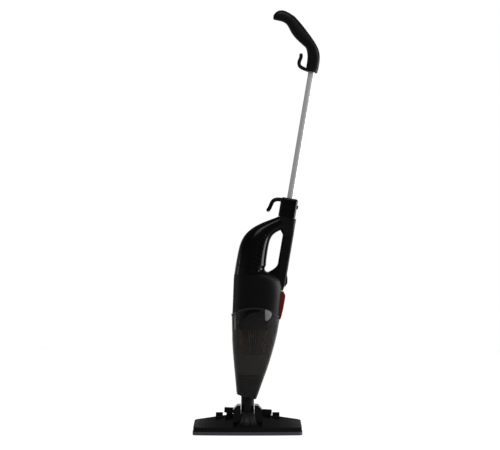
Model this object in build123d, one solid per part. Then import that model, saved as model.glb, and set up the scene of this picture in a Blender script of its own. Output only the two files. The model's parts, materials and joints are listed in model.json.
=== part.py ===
"""Corded stick vacuum cleaner with a wide floor head, a clear dust cup and a wand that lifts out.

Units are millimetres. +Z is up and the sole rests on Z = 0, with the origin at the middle of the sole.
The floor head is 284 wide along X, its front edge faces -Y, and the rest of the cleaner stands on its neck.
The motor housing's spine, the wand and the grip share one axis, which leans from +Z towards +X. What belongs
to it is drawn in that leaning frame: local Z runs up the wand, and local X points away from the motor.
"""

from build123d import *

import math
import os

# Floor head
HEAD_WIDTH = 284.0
HEAD_FRONT = 55.0
HEAD_REAR = 46.0
HEAD_BOW = 5.0
HEAD_CORNER = 9.0
HEAD_WALL = 2.4
FRONT_HEIGHT = 20.0
RIDGE_MIDDLE = 42.0
RIDGE_END = 25.0
RIDGE_FLAT = 80.0
SOLE_THICKNESS = 4.0
COVER_BASE = 9.5
BUMPER_LOW = 0.8
BUMPER_PROUD = 1.6
BUMPER_WALL = 3.0
SEAT_GAP = 0.3
SUCTION_SLOT = (200.0, 14.0)
SUCTION_SLOT_Y = -20.0
CHANNEL_DEPTH = 1.5
CHANNEL_COUNT = 6
CHANNEL_PITCH = 36.0
BRISTLE_ROWS_Y = (-38.0, 24.5)
BRISTLE_TRAVEL = 4.0
BRISTLE_TUFT = 3.0
GUIDE_GAP = 0.3
BRISTLE_SLOT = (236.0, BRISTLE_TUFT + 2 * GUIDE_GAP)
BRISTLE_PITCH = 6.5

# The hump over the air's way: place, half width, height of its edges and of its crown
THROAT_SECTIONS = [(-54.0, 47.0, 14.0, 22.0), (-38.0, 36.0, 17.0, 30.0), (-23.5, 24.0, 22.0, 40.0)]

# Rear wheels and the rocker pedal
WHEEL_RADIUS = 20.5
WHEEL_WIDTH = 11.0
WHEEL_X = 76.0
WHEEL_Y = 49.0
AXLE_RADIUS = 2.5
WHEEL_WELL_GAP = 1.5
RIM_HOLES = 5
RIM_HOLE_CIRCLE = 8.5
RIM_HOLE_RADIUS = 2.3
RUNNING_GAP = 0.08
PEDAL_INNER = 35.0
PEDAL_OUTER = 64.0
PEDAL_Y = 54.0
PEDAL_PIVOT_Z = 27.0
PEDAL_TOP = 54.0
PEDAL_DEPTH = 14.0
PEDAL_THROW = 6.0
PEDAL_GROOVES = 4
PAD_HEIGHT = 13.0

# Neck and its pivot
NECK_RADIUS = 17.0
NECK_WALL = 2.2
PIVOT_Z = 40.0
BARREL_RADIUS = 20.5
BARREL_LENGTH = 35.0
BARREL_GAP = 0.4
TRUNNION_RADIUS = 6.0
TRUNNION_LENGTH = 7.0
EAR_TOP = 73.0
EAR_OUTER = 38.5
EAR_SHOULDER = 61.0
EAR_DEPTH = 34.0

# Dust cup and what sits in it. The profile gives the back, the front and the half width of level sections.
CUP_WALL = 2.2
CUP_LOW = 84.0
CUP_OVERLAP = 11.0
CUP_PROFILE = [
    (-26.2, 21.2, 21.6),
    (-30.4, 33.6, 28.6),
    (-33.3, 45.3, 34.6),
    (-36.3, 56.5, 40.2),
    (-38.9, 66.3, 44.7),
    (-40.8, 74.7, 48.2),
    (-41.8, 81.8, 50.7),
    (-42.3, 87.4, 52.2),
    (-42.3, 92.4, 53.0),
]
MOUTH_BACK = 102.0
MOUTH_FRONT = 88.5
SEAM_BACK = 310.8
SEAM_CROWN = 334.0
SEAM_FRONT = 299.0
SEAM_GAP = 0.5
NOZZLE_TOP = 148.0
NECK_TOP = NOZZLE_TOP - 12
FILTER_X = 15.0
FILTER_TOP = SEAM_CROWN - 60
FILTER_BOTTOM = FILTER_TOP - 63
FILTER_TOP_RADIUS = 39.0
FILTER_BOTTOM_RADIUS = 28.0
FILTER_PLEATS = 36
FILTER_FOOT = 3.0
PLEAT_DEPTH = 4.0

# Lean of the spine, the wand and the grip
LEAN = 9.6
WAND_FOOT_X = 8.3
WAND_RADIUS = 8.75
WAND_WALL = 1.0

# Motor housing: sections given by their back end and front end in the XZ plane, and their half width
HOUSING_WALL = 2.6
HOUSING_SECTIONS = [
    ((-41.0, 292.0), (83.0, 292.0), 50.8),
    ((-40.0, 322.0), (87.0, 322.0), 51.2),
    ((-38.8, 352.0), (90.4, 352.0), 51.5),
    ((-37.8, 380.0), (91.5, 380.0), 51.0),
    ((-37.1, 398.0), (88.5, 398.0), 50.5),
    ((-36.4, 410.0), (80.0, 411.0), 49.8),
    ((-35.4, 419.0), (64.0, 420.5), 49.0),
    ((-34.0, 429.0), (51.0, 426.0), 48.3),
    ((-31.4, 445.0), (49.4, 442.0), 47.5),
    ((-27.9, 465.0), (51.3, 465.0), 46.0),
    ((-24.0, 484.0), (54.1, 484.0), 44.5),
    ((-19.0, 501.0), (57.2, 500.0), 42.5),
    ((-9.8, 519.0), (61.3, 512.5), 39.0),
    ((5.6, 535.4), (66.3, 521.0), 34.5),
    ((26.6, 549.0), (72.8, 527.2), 30.0),
    ((50.6, 559.6), (80.6, 531.8), 26.0),
    ((75.8, 569.0), (91.0, 537.0), 22.5),
    ((90.0, 575.8), (102.0, 543.0), 21.5),
]

SADDLE_TOP = [(51.5, 423.5), (60.0, 427.6), (69.0, 432.8), (76.0, 439.5), (81.0, 449.0)]
SADDLE_HALF = 19.0
SADDLE_EDGE = 5.0

# Spine and socket, in the leaning frame
SPINE_FRONT = 24.8
SPINE_HALF = 15.0
SPINE_EDGE = 7.0
SOCKET_TOP = 576.6
SOCKET_LENGTH = 46.5
SOCKET_WIDTH = 43.0
SOCKET_SHIFT = 1.0
SOCKET_EDGE = 10.0

# Wand collar, its tongue, its cord hook and its lock button, in the leaning frame
COLLAR_TOP = 628.0
COLLAR_LENGTH = 45.0
COLLAR_WIDTH = 42.0
COLLAR_SHIFT = -1.4
TONGUE_DEPTH = 22.0
TONGUE_LENGTH = 32.0
TONGUE_WIDTH = 30.0
TONGUE_EDGE = 6.0
SLIDE_GAP = 0.4
LOWER_HOOK_THICKNESS = 10.5
LOWER_HOOK_ROUTE = [(-15.0, 618.5), (-33.0, 619.8), (-43.0, 614.5), (-47.0, 605.0), (-52.5, 588.5)]
HOOK_WIDTH = 14.0
BUTTON_W = COLLAR_TOP - 20.5
BUTTON_RADIUS = 5.0
BUTTON_PROUD = 3.4

# Grip and upper hook, in the leaning frame: sections by inner end, outer end and half width
GRIP_SECTIONS = [
    ((-16.4, 975.5), (16.4, 975.5), 14.0),
    ((-16.5, 990.0), (16.4, 990.0), 14.5),
    ((-17.4, 1004.0), (15.2, 1008.0), 15.0),
    ((-21.9, 1021.0), (9.0, 1027.5), 15.5),
    ((-31.3, 1032.2), (-4.2, 1045.8), 16.0),
    ((-44.6, 1040.7), (-18.4, 1060.9), 16.5),
    ((-57.5, 1049.7), (-35.0, 1076.8), 16.5),
    ((-68.9, 1060.2), (-52.0, 1092.0), 16.0),
    ((-79.3, 1073.7), (-70.8, 1106.4), 15.5),
    ((-92.3, 1084.7), (-90.4, 1113.9), 15.0),
    ((-106.0, 1087.3), (-108.0, 1115.0), 14.0),
    ((-116.5, 1087.6), (-118.7, 1108.8), 12.0),
    ((-123.3, 1088.6), (-125.0, 1097.6), 7.0),
]
WAND_TOP = 1004.0
WAND_BOTTOM = 556.0
UPPER_HOOK_RING = (967.4, 975.2)
UPPER_HOOK_RADIUS = 15.4
GRIP_REACH = 18.2
UPPER_HOOK_THICKNESS = 9.5
UPPER_HOOK_ROUTE = [
    (-9.0, 970.8),
    (-24.0, 973.6),
    (-34.6, 979.5),
    (-37.0, 988.5),
    (-35.0, 998.0),
    (-35.2, 1007.5),
]

# Cup latch, power switch and louvres
LATCH_BOTTOM = 300.0
LATCH_TOP = 375.0
LATCH_HALF = 22.0
LATCH_FACE = [
    (95.0, LATCH_TOP - 1.5),
    (99.3, LATCH_TOP - 11.0),
    (98.6, 354.9),
    (94.7, 332.2),
    (92.7, 323.4),
    (89.0, LATCH_BOTTOM + 8.0),
    (86.4, LATCH_BOTTOM + 0.5),
]
LATCH_PIVOT_Z = 338.0
LATCH_PIN_RADIUS = 1.5
SWITCH_LOW = 395.0
SWITCH_HIGH = 427.0
SWITCH_HALF = 7.0
SWITCH_PROUD = 5.0
SWITCH_TRAVEL = 6.0
SWITCH_GROOVES = 4
GROOVE_Z = 419.0
GROOVE_WIDTH = 1.0
GROOVE_DEPTH = 0.9
LOUVRE_COUNT = 7
LOUVRE_LOWEST = ((1.0, 430.0), (25.0, 431.0))
LOUVRE_HIGHEST = ((19.0, 511.0), (38.5, 499.0))
LOUVRE_HEIGHT = 4.6
SEAM_CENTRE_X = 22.0
RIM_HEIGHT = 5.0
RIM_PROUD = 1.0
FOAM_THICKNESS = 4.0
FOAM_X = (-3.5, 46.0)
FOAM_Z = (424.0, 516.0)
FOAM_INNER_Y = 22.0

# Motor
MOTOR_X = 27.0
MOTOR_RADIUS = 36.0
MOTOR_LOW = SEAM_CROWN + 32
MOTOR_HIGH = MOTOR_LOW + 46
SHAFT_RADIUS = 4.0
FAN_RADIUS = 33.0
FAN_LOW = SEAM_CROWN + 12
FAN_HIGH = FAN_LOW + 14
FAN_BLADES = 9
BLADE_THICKNESS = 1.6

# Small fixed sizes
PEDAL_PIN_RADIUS = 2.5
SEAL_DEPTH = 1.4
SEAL_Z = 126.0
CUP_BACK_END = -46.0
CUP_FRONT_END = 92.0
MOUTH_SLOPE = (MOUTH_BACK - MOUTH_FRONT) / 50
NOZZLE_WALL = 2.5
FLAP_HALF = 9.0
FLAP_PIN_X = -20.5
FLAP_PIN_Z = NOZZLE_TOP + 3.2
HOLDER_TOP_RADIUS = 33.0
INLET_X = 22.0
INLET_RADIUS = 16.0
FLOOR_THICKNESS = 5.0
LATCH_BACK_X = 80.0
LATCH_PIVOT_X = 86.5
SPINE_BACK = -3.6
SPINE_LOW = 384.0
SPINE_SHOULDER = 400.0
SPINE_TOE = 3.5
SOCKET_FLARE_LOW = 530.0
SOCKET_FLARE_HIGH = 556.0
COLLAR_FRONT = COLLAR_SHIFT + COLLAR_LENGTH / 2
BUTTON_LENGTH = 9.0
GRIP_WALL = 3.0
SCREW_HEAD = 3.5
SCREW_SHANK = 1.7
CORD_X = 2.0
CORD_Z = 392.0
CORD_Y = 36.0
CORD_BUSH_LENGTH = 22.0
HOUSING_SCREWS = [(45.0, 521.0, -32.5), (-8.0, 448.0, 43.0), (70.0, 392.0, 44.0)]
GRIP_SCREWS = [(-9.0, 1032.0, 14.0), (-70.0, 1085.0, 14.0)]

LEANING = Location((WAND_FOOT_X, 0, 0), (0, LEAN, 0))
SIDE = Plane(origin=(0, 0, 0), x_dir=(1, 0, 0), z_dir=(0, -1, 0))
FAR = 400.0


def side_plate(face, half):
    """Extrudes a face drawn in X and Z to both sides of the middle plane."""
    return extrude(SIDE * face, half, both=True)


def oval(start, end, half, fullness=2.5, points=16):
    """A full, rounded section whose long axis runs from start to end in the XZ plane."""
    (x0, z0), (x1, z1) = start, end
    length = math.hypot(x1 - x0, z1 - z0)
    across = Vector((x1 - x0) / length, 0, (z1 - z0) / length)
    plane = Plane(
        origin=((x0 + x1) / 2, 0, (z0 + z1) / 2), x_dir=across, z_dir=(-across.Z, 0, across.X)
    )
    outline = []
    for i in range(points):
        turn = 2 * math.pi * i / points
        c, s = math.cos(turn), math.sin(turn)
        along = math.copysign(abs(c) ** (2 / fullness), c) * length / 2
        aside = math.copysign(abs(s) ** (2 / fullness), s) * half
        outline.append((along, aside))
    return plane * make_face(Spline(*outline, periodic=True))


def inset(section, amount):
    """The same section drawn in by an amount all round."""
    (x0, z0), (x1, z1), half = section
    share = amount / math.hypot(x1 - x0, z1 - z0)
    dx, dz = (x1 - x0) * share, (z1 - z0) * share
    return (x0 + dx, z0 + dz), (x1 - dx, z1 - dz), half - amount


def skin(sections, amount=0.0, run=4):
    """A smooth solid through the sections, each drawn in by the same amount, lofted in runs."""
    faces = [oval(*inset(s, amount)) for s in sections]
    solid = loft(faces[: run + 1])
    for first in range(run, len(faces) - 1, run):
        solid += loft(faces[first : first + run + 1])
    return solid


def cup_skin(amount=0.0):
    """The cup's tapering body, drawn in by an amount, as one smooth surface."""
    return skin(cup_sections(), amount, run=len(CUP_PROFILE))


def cup_sections():
    """Level sections of the cup at equal steps, from its mouth to above the seam."""
    step = (SEAM_CROWN + CUP_OVERLAP - CUP_LOW) / (len(CUP_PROFILE) - 1)
    sections = []
    for i, (back, front, half) in enumerate(CUP_PROFILE):
        z = CUP_LOW + i * step
        sections.append(((back, z), (front, z), half))
    return sections


def rod(radius, low, high, x=0.0, y=0.0):
    """An upright cylinder between two heights."""
    return Pos(x, y, low) * Cylinder(radius, high - low, align=(Align.CENTER, Align.CENTER, Align.MIN))


def tube(radius, bore, low, high, x=0.0, y=0.0):
    return rod(radius, low, high, x, y) - rod(bore, low - 1, high + 1, x, y)


def cross_rod(radius, x0, x1, y, z):
    """A cylinder lying along X."""
    return Pos((x0 + x1) / 2, y, z) * Rot(0, 90, 0) * Cylinder(radius, x1 - x0)


def block(x0, x1, y0, y1, z0, z1):
    return Pos((x0 + x1) / 2, (y0 + y1) / 2, (z0 + z1) / 2) * Box(x1 - x0, y1 - y0, z1 - z0)


def both_sides(shape):
    """The shape and its mirror image across the YZ plane."""
    return shape + mirror(shape, about=Plane.YZ)


def near_half(shape):
    return shape & block(-FAR, FAR, -FAR, 0, -FAR, 4 * FAR)


# ---- floor head ----


def head_plan(grow=0.0):
    """Outline of the floor head from above: straight ends, a bowed front and rounded corners."""
    x = HEAD_WIDTH / 2 + grow
    corner_y = -(HEAD_FRONT - HEAD_BOW + grow)
    rear_y = HEAD_REAR + grow
    front = ThreePointArc((-x, corner_y), (0, -HEAD_FRONT - grow), (x, corner_y))
    rest = Polyline((x, corner_y), (x, rear_y), (-x, rear_y), (-x, corner_y))
    face = make_face(front + rest)
    return fillet(face.vertices(), HEAD_CORNER + grow)


def head_slope(wall=0.0):
    """The cover's block: level along its front edge, and rising to a ridge along its rear."""
    x = HEAD_WIDTH / 2 + 10

    def profile(y, middle, end):
        top = Polyline(
            (-x, COVER_BASE - 1 if wall else COVER_BASE),
            (-x, end - wall),
            (-RIDGE_FLAT / 2, middle - wall),
            (RIDGE_FLAT / 2, middle - wall),
            (x, end - wall),
            (x, COVER_BASE - 1 if wall else COVER_BASE),
            close=True,
        )
        return Plane(origin=(0, y, 0), x_dir=(1, 0, 0), z_dir=(0, -1, 0)) * make_face(top)

    front = profile(-HEAD_FRONT - 6, FRONT_HEIGHT + 0.01, FRONT_HEIGHT)
    rear = profile(HEAD_REAR + 6, RIDGE_MIDDLE, RIDGE_END)
    return loft([front, rear], ruled=True)


def wheel_bays(grow=0.0):
    """Clearance for both rear wheels."""
    half = WHEEL_WIDTH / 2 + WHEEL_WELL_GAP + grow
    bay = cross_rod(
        WHEEL_RADIUS + WHEEL_WELL_GAP + grow, WHEEL_X - half, WHEEL_X + half, WHEEL_Y, WHEEL_RADIUS
    )
    return both_sides(bay)


def head_cover():
    outer = head_slope() & extrude(head_plan(), 100)
    inner = head_slope(HEAD_WALL) & extrude(head_plan(-HEAD_WALL), 100)
    cover = outer - inner
    middle = block(-EAR_OUTER - 1, EAR_OUTER + 1, -30, HEAD_REAR, 14, FAR)
    cover += middle & outer
    cheek = block(WHEEL_X - 9.4, WHEEL_X + 9.4, 30, HEAD_REAR, COVER_BASE, RIDGE_MIDDLE) & outer
    fender_radius = WHEEL_RADIUS + WHEEL_WELL_GAP + HEAD_WALL
    fender_half = WHEEL_WIDTH / 2 + WHEEL_WELL_GAP + HEAD_WALL
    fender = cross_rod(fender_radius, WHEEL_X - fender_half, WHEEL_X + fender_half, WHEEL_Y, WHEEL_RADIUS)
    fender &= block(0, 200, 30, WHEEL_Y + 8, WHEEL_RADIUS - 6, 100)
    cover += both_sides(cheek + fender)
    ear_inner = BARREL_LENGTH / 2 - 1
    ear_profile = make_face(
        Polyline(
            (ear_inner, 24),
            (EAR_OUTER, 24),
            (EAR_OUTER, EAR_SHOULDER),
            (EAR_OUTER - 11, EAR_TOP),
            (ear_inner, EAR_TOP),
            close=True,
        )
    )
    ears = side_plate(ear_profile, EAR_DEPTH / 2)
    cover += both_sides(ears)
    pedal_boss = block(-12, 12, HEAD_REAR - 1, HEAD_REAR + 2.5, PEDAL_PIVOT_Z - 7, PEDAL_PIVOT_Z + 5)
    cover += pedal_boss
    recess_half = BARREL_LENGTH / 2 + BARREL_GAP
    recess = block(-recess_half, recess_half, -EAR_DEPTH, HEAD_REAR - 3, 29, EAR_TOP + 5)
    recess += block(-recess_half, recess_half, 0, HEAD_REAR + 9, 35.5, EAR_TOP + 5)
    recess += cross_rod(BARREL_RADIUS + 0.7, -recess_half, recess_half, 0, PIVOT_Z)
    cover -= recess
    cover -= rod(NECK_RADIUS - NECK_WALL - 1, 0, PIVOT_Z)
    reach = BARREL_LENGTH / 2 + TRUNNION_LENGTH + 1
    cover -= cross_rod(TRUNNION_RADIUS + RUNNING_GAP, -reach, reach, 0, PIVOT_Z)
    cover -= wheel_bays()
    cover -= both_sides(cross_rod(AXLE_RADIUS, WHEEL_X - 12, WHEEL_X + 12, WHEEL_Y, WHEEL_RADIUS))
    return cover


def throat_cover():
    """The humped panel over the air's way from the front of the head up to the neck's pivot."""
    faces = []
    for y, half, low, crown in THROAT_SECTIONS:
        outline = ThreePointArc((-half, low), (0, crown), (half, low)) + Line((half, low), (-half, low))
        plane = Plane(origin=(0, y, 0), x_dir=(1, 0, 0), z_dir=(0, -1, 0))
        faces.append(plane * make_face(outline))
    hump = loft(faces, ruled=True) & extrude(head_plan(), 100)
    return hump - (head_slope() & extrude(head_plan(), 100))


def sole_plate():
    plate = extrude(head_plan(-BUMPER_WALL), SOLE_THICKNESS)
    rim = extrude(head_plan(-BUMPER_WALL) - head_plan(-BUMPER_WALL - 3), COVER_BASE)
    sole = plate + rim
    slot = Pos(0, SUCTION_SLOT_Y) * RectangleRounded(*SUCTION_SLOT, SUCTION_SLOT[1] / 2 - 0.1)
    sole -= extrude(slot, SOLE_THICKNESS + 1)
    trough_low, trough_high = BRISTLE_ROWS_Y[0] + 5, SUCTION_SLOT_Y + SUCTION_SLOT[1] / 2 + 3
    reach = SUCTION_SLOT[0] / 2 + 8
    sole -= block(-reach, reach, trough_low, trough_high, -1, CHANNEL_DEPTH)
    for i in range(CHANNEL_COUNT):
        x = (i - (CHANNEL_COUNT - 1) / 2) * CHANNEL_PITCH
        sole -= block(x - 5, x + 5, -HEAD_FRONT - 5, trough_low + 1, -1, CHANNEL_DEPTH)
    for y in BRISTLE_ROWS_Y:
        sole -= extrude(Pos(0, y) * Rectangle(*BRISTLE_SLOT), SOLE_THICKNESS + 1)
    sole -= wheel_bays()
    sole -= both_sides(block(WHEEL_X - 10, WHEEL_X + 10, 29.5, HEAD_REAR + 9, COVER_BASE - 2, 30))
    return sole


def bumper():
    outline = head_plan(BUMPER_PROUD) - head_plan(-BUMPER_WALL + SEAT_GAP)
    ring = Pos(0, 0, BUMPER_LOW) * extrude(outline, COVER_BASE - BUMPER_LOW - SEAT_GAP)
    gap = block(WHEEL_X - 12, WHEEL_X + 12, HEAD_REAR - 8, HEAD_REAR + 9, 0, 30)
    return ring - both_sides(gap)


def wheel():
    """One rear wheel: a tyre on a spoked rim that turns on its axle."""
    tyre = cross_rod(WHEEL_RADIUS, -WHEEL_WIDTH / 2, WHEEL_WIDTH / 2, 0, 0)
    tyre = fillet(tyre.edges(), 2)
    bore = cross_rod(WHEEL_RADIUS - 4, -WHEEL_WIDTH, WHEEL_WIDTH, 0, 0)
    rim = cross_rod(WHEEL_RADIUS - 4 - SEAT_GAP / 2, -WHEEL_WIDTH / 2 + 1, WHEEL_WIDTH / 2 - 1, 0, 0)
    rim -= cross_rod(AXLE_RADIUS + RUNNING_GAP, -WHEEL_WIDTH, WHEEL_WIDTH, 0, 0)
    for i in range(RIM_HOLES):
        turn = 2 * math.pi * i / RIM_HOLES
        y, z = RIM_HOLE_CIRCLE * math.cos(turn), RIM_HOLE_CIRCLE * math.sin(turn)
        rim -= cross_rod(RIM_HOLE_RADIUS, -WHEEL_WIDTH, WHEEL_WIDTH, y, z)
    place = Pos(WHEEL_X, WHEEL_Y, WHEEL_RADIUS)
    return place * (tyre - bore), place * rim


def axle():
    length = 2 * (WHEEL_WIDTH / 2 + WHEEL_WELL_GAP) + 7
    return cross_rod(AXLE_RADIUS - 0.02, WHEEL_X - length / 2, WHEEL_X + length / 2, WHEEL_Y, WHEEL_RADIUS)


def pedal():
    """A rocker with a pad at each side of the neck, drawn with its left pad up."""
    front, rear, pad_low = PEDAL_Y - PEDAL_DEPTH / 2, PEDAL_Y + PEDAL_DEPTH / 2, PEDAL_TOP - PAD_HEIGHT
    pads = both_sides(block(PEDAL_INNER, PEDAL_OUTER, front, rear, pad_low, PEDAL_TOP))
    pads = fillet(pads.edges().filter_by(Axis.Z), 4)
    pads = chamfer(pads.faces().sort_by(Axis.Z)[-2:].edges(), 1.2)
    for i in range(PEDAL_GROOVES):
        y = PEDAL_Y + (i - (PEDAL_GROOVES - 1) / 2) * PEDAL_DEPTH / (PEDAL_GROOVES + 1)
        groove = block(PEDAL_INNER + 3, PEDAL_OUTER - 3, y - 0.6, y + 0.6, PEDAL_TOP - 0.8, PEDAL_TOP + 1)
        pads -= both_sides(groove)
    reach = PEDAL_OUTER - 6
    beam = block(-reach, reach, PEDAL_Y - 5, PEDAL_Y + 4, PEDAL_PIVOT_Z - 3, PEDAL_PIVOT_Z + 4)
    posts = both_sides(block(PEDAL_INNER + 6, reach, PEDAL_Y - 5, PEDAL_Y + 4, PEDAL_PIVOT_Z, pad_low + 1))
    hub = Pos(0, PEDAL_Y - 0.5, PEDAL_PIVOT_Z) * Rot(90, 0, 0) * Cylinder(6, 9)
    rocker = pads + beam + posts + hub
    rocker -= Pos(0, PEDAL_Y, PEDAL_PIVOT_Z) * Rot(90, 0, 0) * Cylinder(PEDAL_PIN_RADIUS + RUNNING_GAP, 30)
    about = Pos(0, 0, PEDAL_PIVOT_Z)
    return about * Rot(0, PEDAL_THROW / 2, 0) * about.inverse() * rocker


def pedal_pin():
    low = HEAD_REAR + 2.5
    pin = Pos(0, (low + PEDAL_Y + 5) / 2, PEDAL_PIVOT_Z) * Rot(90, 0, 0)
    head = Pos(0, PEDAL_Y + 5, PEDAL_PIVOT_Z) * Rot(90, 0, 0) * Cylinder(5, 1.5)
    return pin * Cylinder(PEDAL_PIN_RADIUS, PEDAL_Y + 5 - low) + head


def bristle_strip(y):
    """A row of tufts on a bar; the bar stands in the head and the tufts pass through the sole."""
    length = BRISTLE_SLOT[0]
    low = SOLE_THICKNESS + BRISTLE_TRAVEL + 0.6
    strip = block(-length / 2, length / 2, y - 4, y + 4, low, low + 3)
    count = int(length // BRISTLE_PITCH)
    for i in range(count):
        x = (i - (count - 1) / 2) * BRISTLE_PITCH
        half = BRISTLE_PITCH / 2 - 0.6
        strip += block(x - half, x + half, y - BRISTLE_TUFT / 2, y + BRISTLE_TUFT / 2, 0.5, low)
    return strip


def brush_carrier():
    """Two rails that hold the rows of bristles together, at each side of the suction slot."""
    low = SOLE_THICKNESS + BRISTLE_TRAVEL + 0.6
    front, rear = BRISTLE_ROWS_Y
    rail = block(SUCTION_SLOT[0] / 2 + 4, SUCTION_SLOT[0] / 2 + 12, front + 4, rear - 4, low, low + 3)
    return both_sides(rail)


# ---- neck ----


def neck_pipe():
    pipe = rod(NECK_RADIUS, PIVOT_Z, NECK_TOP)
    pipe += cross_rod(BARREL_RADIUS, -BARREL_LENGTH / 2, BARREL_LENGTH / 2, 0, PIVOT_Z)
    pipe += cross_rod(
        TRUNNION_RADIUS, -BARREL_LENGTH / 2 - TRUNNION_LENGTH, BARREL_LENGTH / 2 + TRUNNION_LENGTH, 0, PIVOT_Z
    )
    pipe -= rod(NECK_RADIUS - NECK_WALL, 0, NECK_TOP + 1)
    pipe -= tube(NECK_RADIUS + 1, NECK_RADIUS - SEAL_DEPTH, SEAL_Z - 1.6, SEAL_Z + 1.6)
    return pipe


def neck_seal():
    return tube(NECK_RADIUS - 0.1, NECK_RADIUS - SEAL_DEPTH + 0.1, SEAL_Z - 1.5, SEAL_Z + 1.5)


# ---- dirt cup ----


def under_seam(shift=0.0):
    """Everything under the curved joint between cup and housing, moved up or down by shift."""
    low = 60
    back, front = (CUP_BACK_END, SEAM_BACK + shift), (CUP_FRONT_END, SEAM_FRONT + shift)
    arc = ThreePointArc(back, (SEAM_CENTRE_X, SEAM_CROWN + shift), front)
    rest = Polyline(
        (CUP_FRONT_END, SEAM_FRONT + shift),
        (CUP_FRONT_END + 40, SEAM_FRONT + shift),
        (CUP_FRONT_END + 40, low),
        (CUP_BACK_END - 40, low),
        (CUP_BACK_END - 40, SEAM_BACK + shift),
        (CUP_BACK_END, SEAM_BACK + shift),
    )
    return side_plate(make_face(arc + rest), 90)


def under_mouth():
    """Everything under the slanted mouth of the cup."""
    face = make_face(
        Polyline(
            (-FAR, MOUTH_BACK + (FAR - 28) * MOUTH_SLOPE),
            (FAR, MOUTH_FRONT - (FAR - 22) * MOUTH_SLOPE),
            (FAR, -FAR),
            (-FAR, -FAR),
            close=True,
        )
    )
    return side_plate(face, 90)


def cup_shell():
    shell = cup_skin() - cup_skin(CUP_WALL)
    shell = (shell & under_seam()) - under_mouth()
    return shell - latch_notch()


def cup_rim():
    """The stepped band round the cup's top edge."""
    band = cup_skin(-RIM_PROUD) - cup_skin(-SEAT_GAP)
    return (band & under_seam()) - under_seam(-RIM_HEIGHT) - latch_notch()


def nozzle_insert():
    """The dark inlet in the cup's foot, which turns on the neck pipe."""
    outer = cup_skin(CUP_WALL + SEAT_GAP)
    inner = cup_skin(CUP_WALL + SEAT_GAP + NOZZLE_WALL)
    body = outer - inner
    body += outer & block(-FAR, FAR, -FAR, FAR, NOZZLE_TOP - NOZZLE_WALL, NOZZLE_TOP)
    body += rod(NECK_RADIUS + NOZZLE_WALL, 90, NOZZLE_TOP - 0.5)
    body -= rod(NECK_RADIUS + RUNNING_GAP, 60, NECK_TOP + 1)
    body -= rod(NECK_RADIUS - NECK_WALL, 60, NOZZLE_TOP + 1)
    body -= block(-FAR, FAR, -FAR, FAR, NOZZLE_TOP, 2 * FAR)
    body -= under_mouth()
    for y in (-FLAP_HALF - 2.3, FLAP_HALF + 2.3):
        lug = block(FLAP_PIN_X - 3, FLAP_PIN_X + 3, y - 1.5, y + 1.5, NOZZLE_TOP, FLAP_PIN_Z + 3)
        body += lug
    body -= flap_pin(RUNNING_GAP)
    return body


def flap_pin(grow=0.0):
    return Pos(FLAP_PIN_X, 0, FLAP_PIN_Z) * Rot(90, 0, 0) * Cylinder(1.5 + grow, 2 * FLAP_HALF + 8)


def inlet_flap():
    """The flap that keeps the dirt in the cup, shown closed."""
    plate = rod(NECK_RADIUS - 0.5, NOZZLE_TOP + 0.4, NOZZLE_TOP + 2.4)
    plate += block(FLAP_PIN_X, 0, -FLAP_HALF + 0.5, FLAP_HALF - 0.5, NOZZLE_TOP + 0.4, NOZZLE_TOP + 2.4)
    eye = Pos(FLAP_PIN_X, 0, FLAP_PIN_Z) * Rot(90, 0, 0) * Cylinder(2.9, 2 * FLAP_HALF - 1)
    return plate + eye + flap_pin()


def pleated_filter():
    """A star-shaped cone: its folds run from the holder down to its closed foot."""

    def star(height, radius):
        points = []
        for i in range(2 * FILTER_PLEATS):
            r = radius if i % 2 == 0 else radius - PLEAT_DEPTH
            turn = math.pi * i / FILTER_PLEATS
            points.append((r * math.cos(turn), r * math.sin(turn)))
        return Pos(FILTER_X, 0, height) * make_face(Polyline(*points, close=True))

    low, high = star(FILTER_BOTTOM, FILTER_BOTTOM_RADIUS), star(FILTER_TOP, FILTER_TOP_RADIUS)
    pleats = loft([low, high], ruled=True)
    pleats -= rod(FILTER_BOTTOM_RADIUS - PLEAT_DEPTH - 3, FILTER_BOTTOM + 2, FILTER_TOP + 1, FILTER_X)
    return pleats + rod(FILTER_BOTTOM_RADIUS + 1, FILTER_BOTTOM - FILTER_FOOT, FILTER_BOTTOM, FILTER_X)


def filter_holder():
    """The cone between the housing's floor and the filter, with the air's way through it."""
    foot = Pos(FILTER_X, 0, FILTER_TOP) * Circle(FILTER_TOP_RADIUS + 1)
    brim = Pos(FILTER_X, 0, FILTER_TOP + 6) * Circle(FILTER_TOP_RADIUS + 1)
    head = Pos(FILTER_X, 0, SEAM_CROWN + 2) * Circle(HOLDER_TOP_RADIUS)
    cone = loft([foot, brim], ruled=True) + loft([brim, head], ruled=True)
    cone -= rod(INLET_RADIUS, FILTER_TOP - 1, SEAM_CROWN + 9, INLET_X)
    return cone & under_seam(SEAM_GAP)


# ---- motor housing ----


def latch_notch():
    half = LATCH_HALF + 0.5
    return block(LATCH_BACK_X - 4, FAR, -half, half, LATCH_BOTTOM - 0.8, LATCH_TOP + 2)


def housing_cavity():
    cavity = skin(HOUSING_SECTIONS, HOUSING_WALL) - under_seam(FLOOR_THICKNESS)
    cavity -= block(
        LATCH_BACK_X - 7, 120, -LATCH_HALF - 4, LATCH_HALF + 4, LATCH_BOTTOM - 10, LATCH_TOP + 5
    )
    return cavity - spine_solid(HOUSING_WALL)


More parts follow.
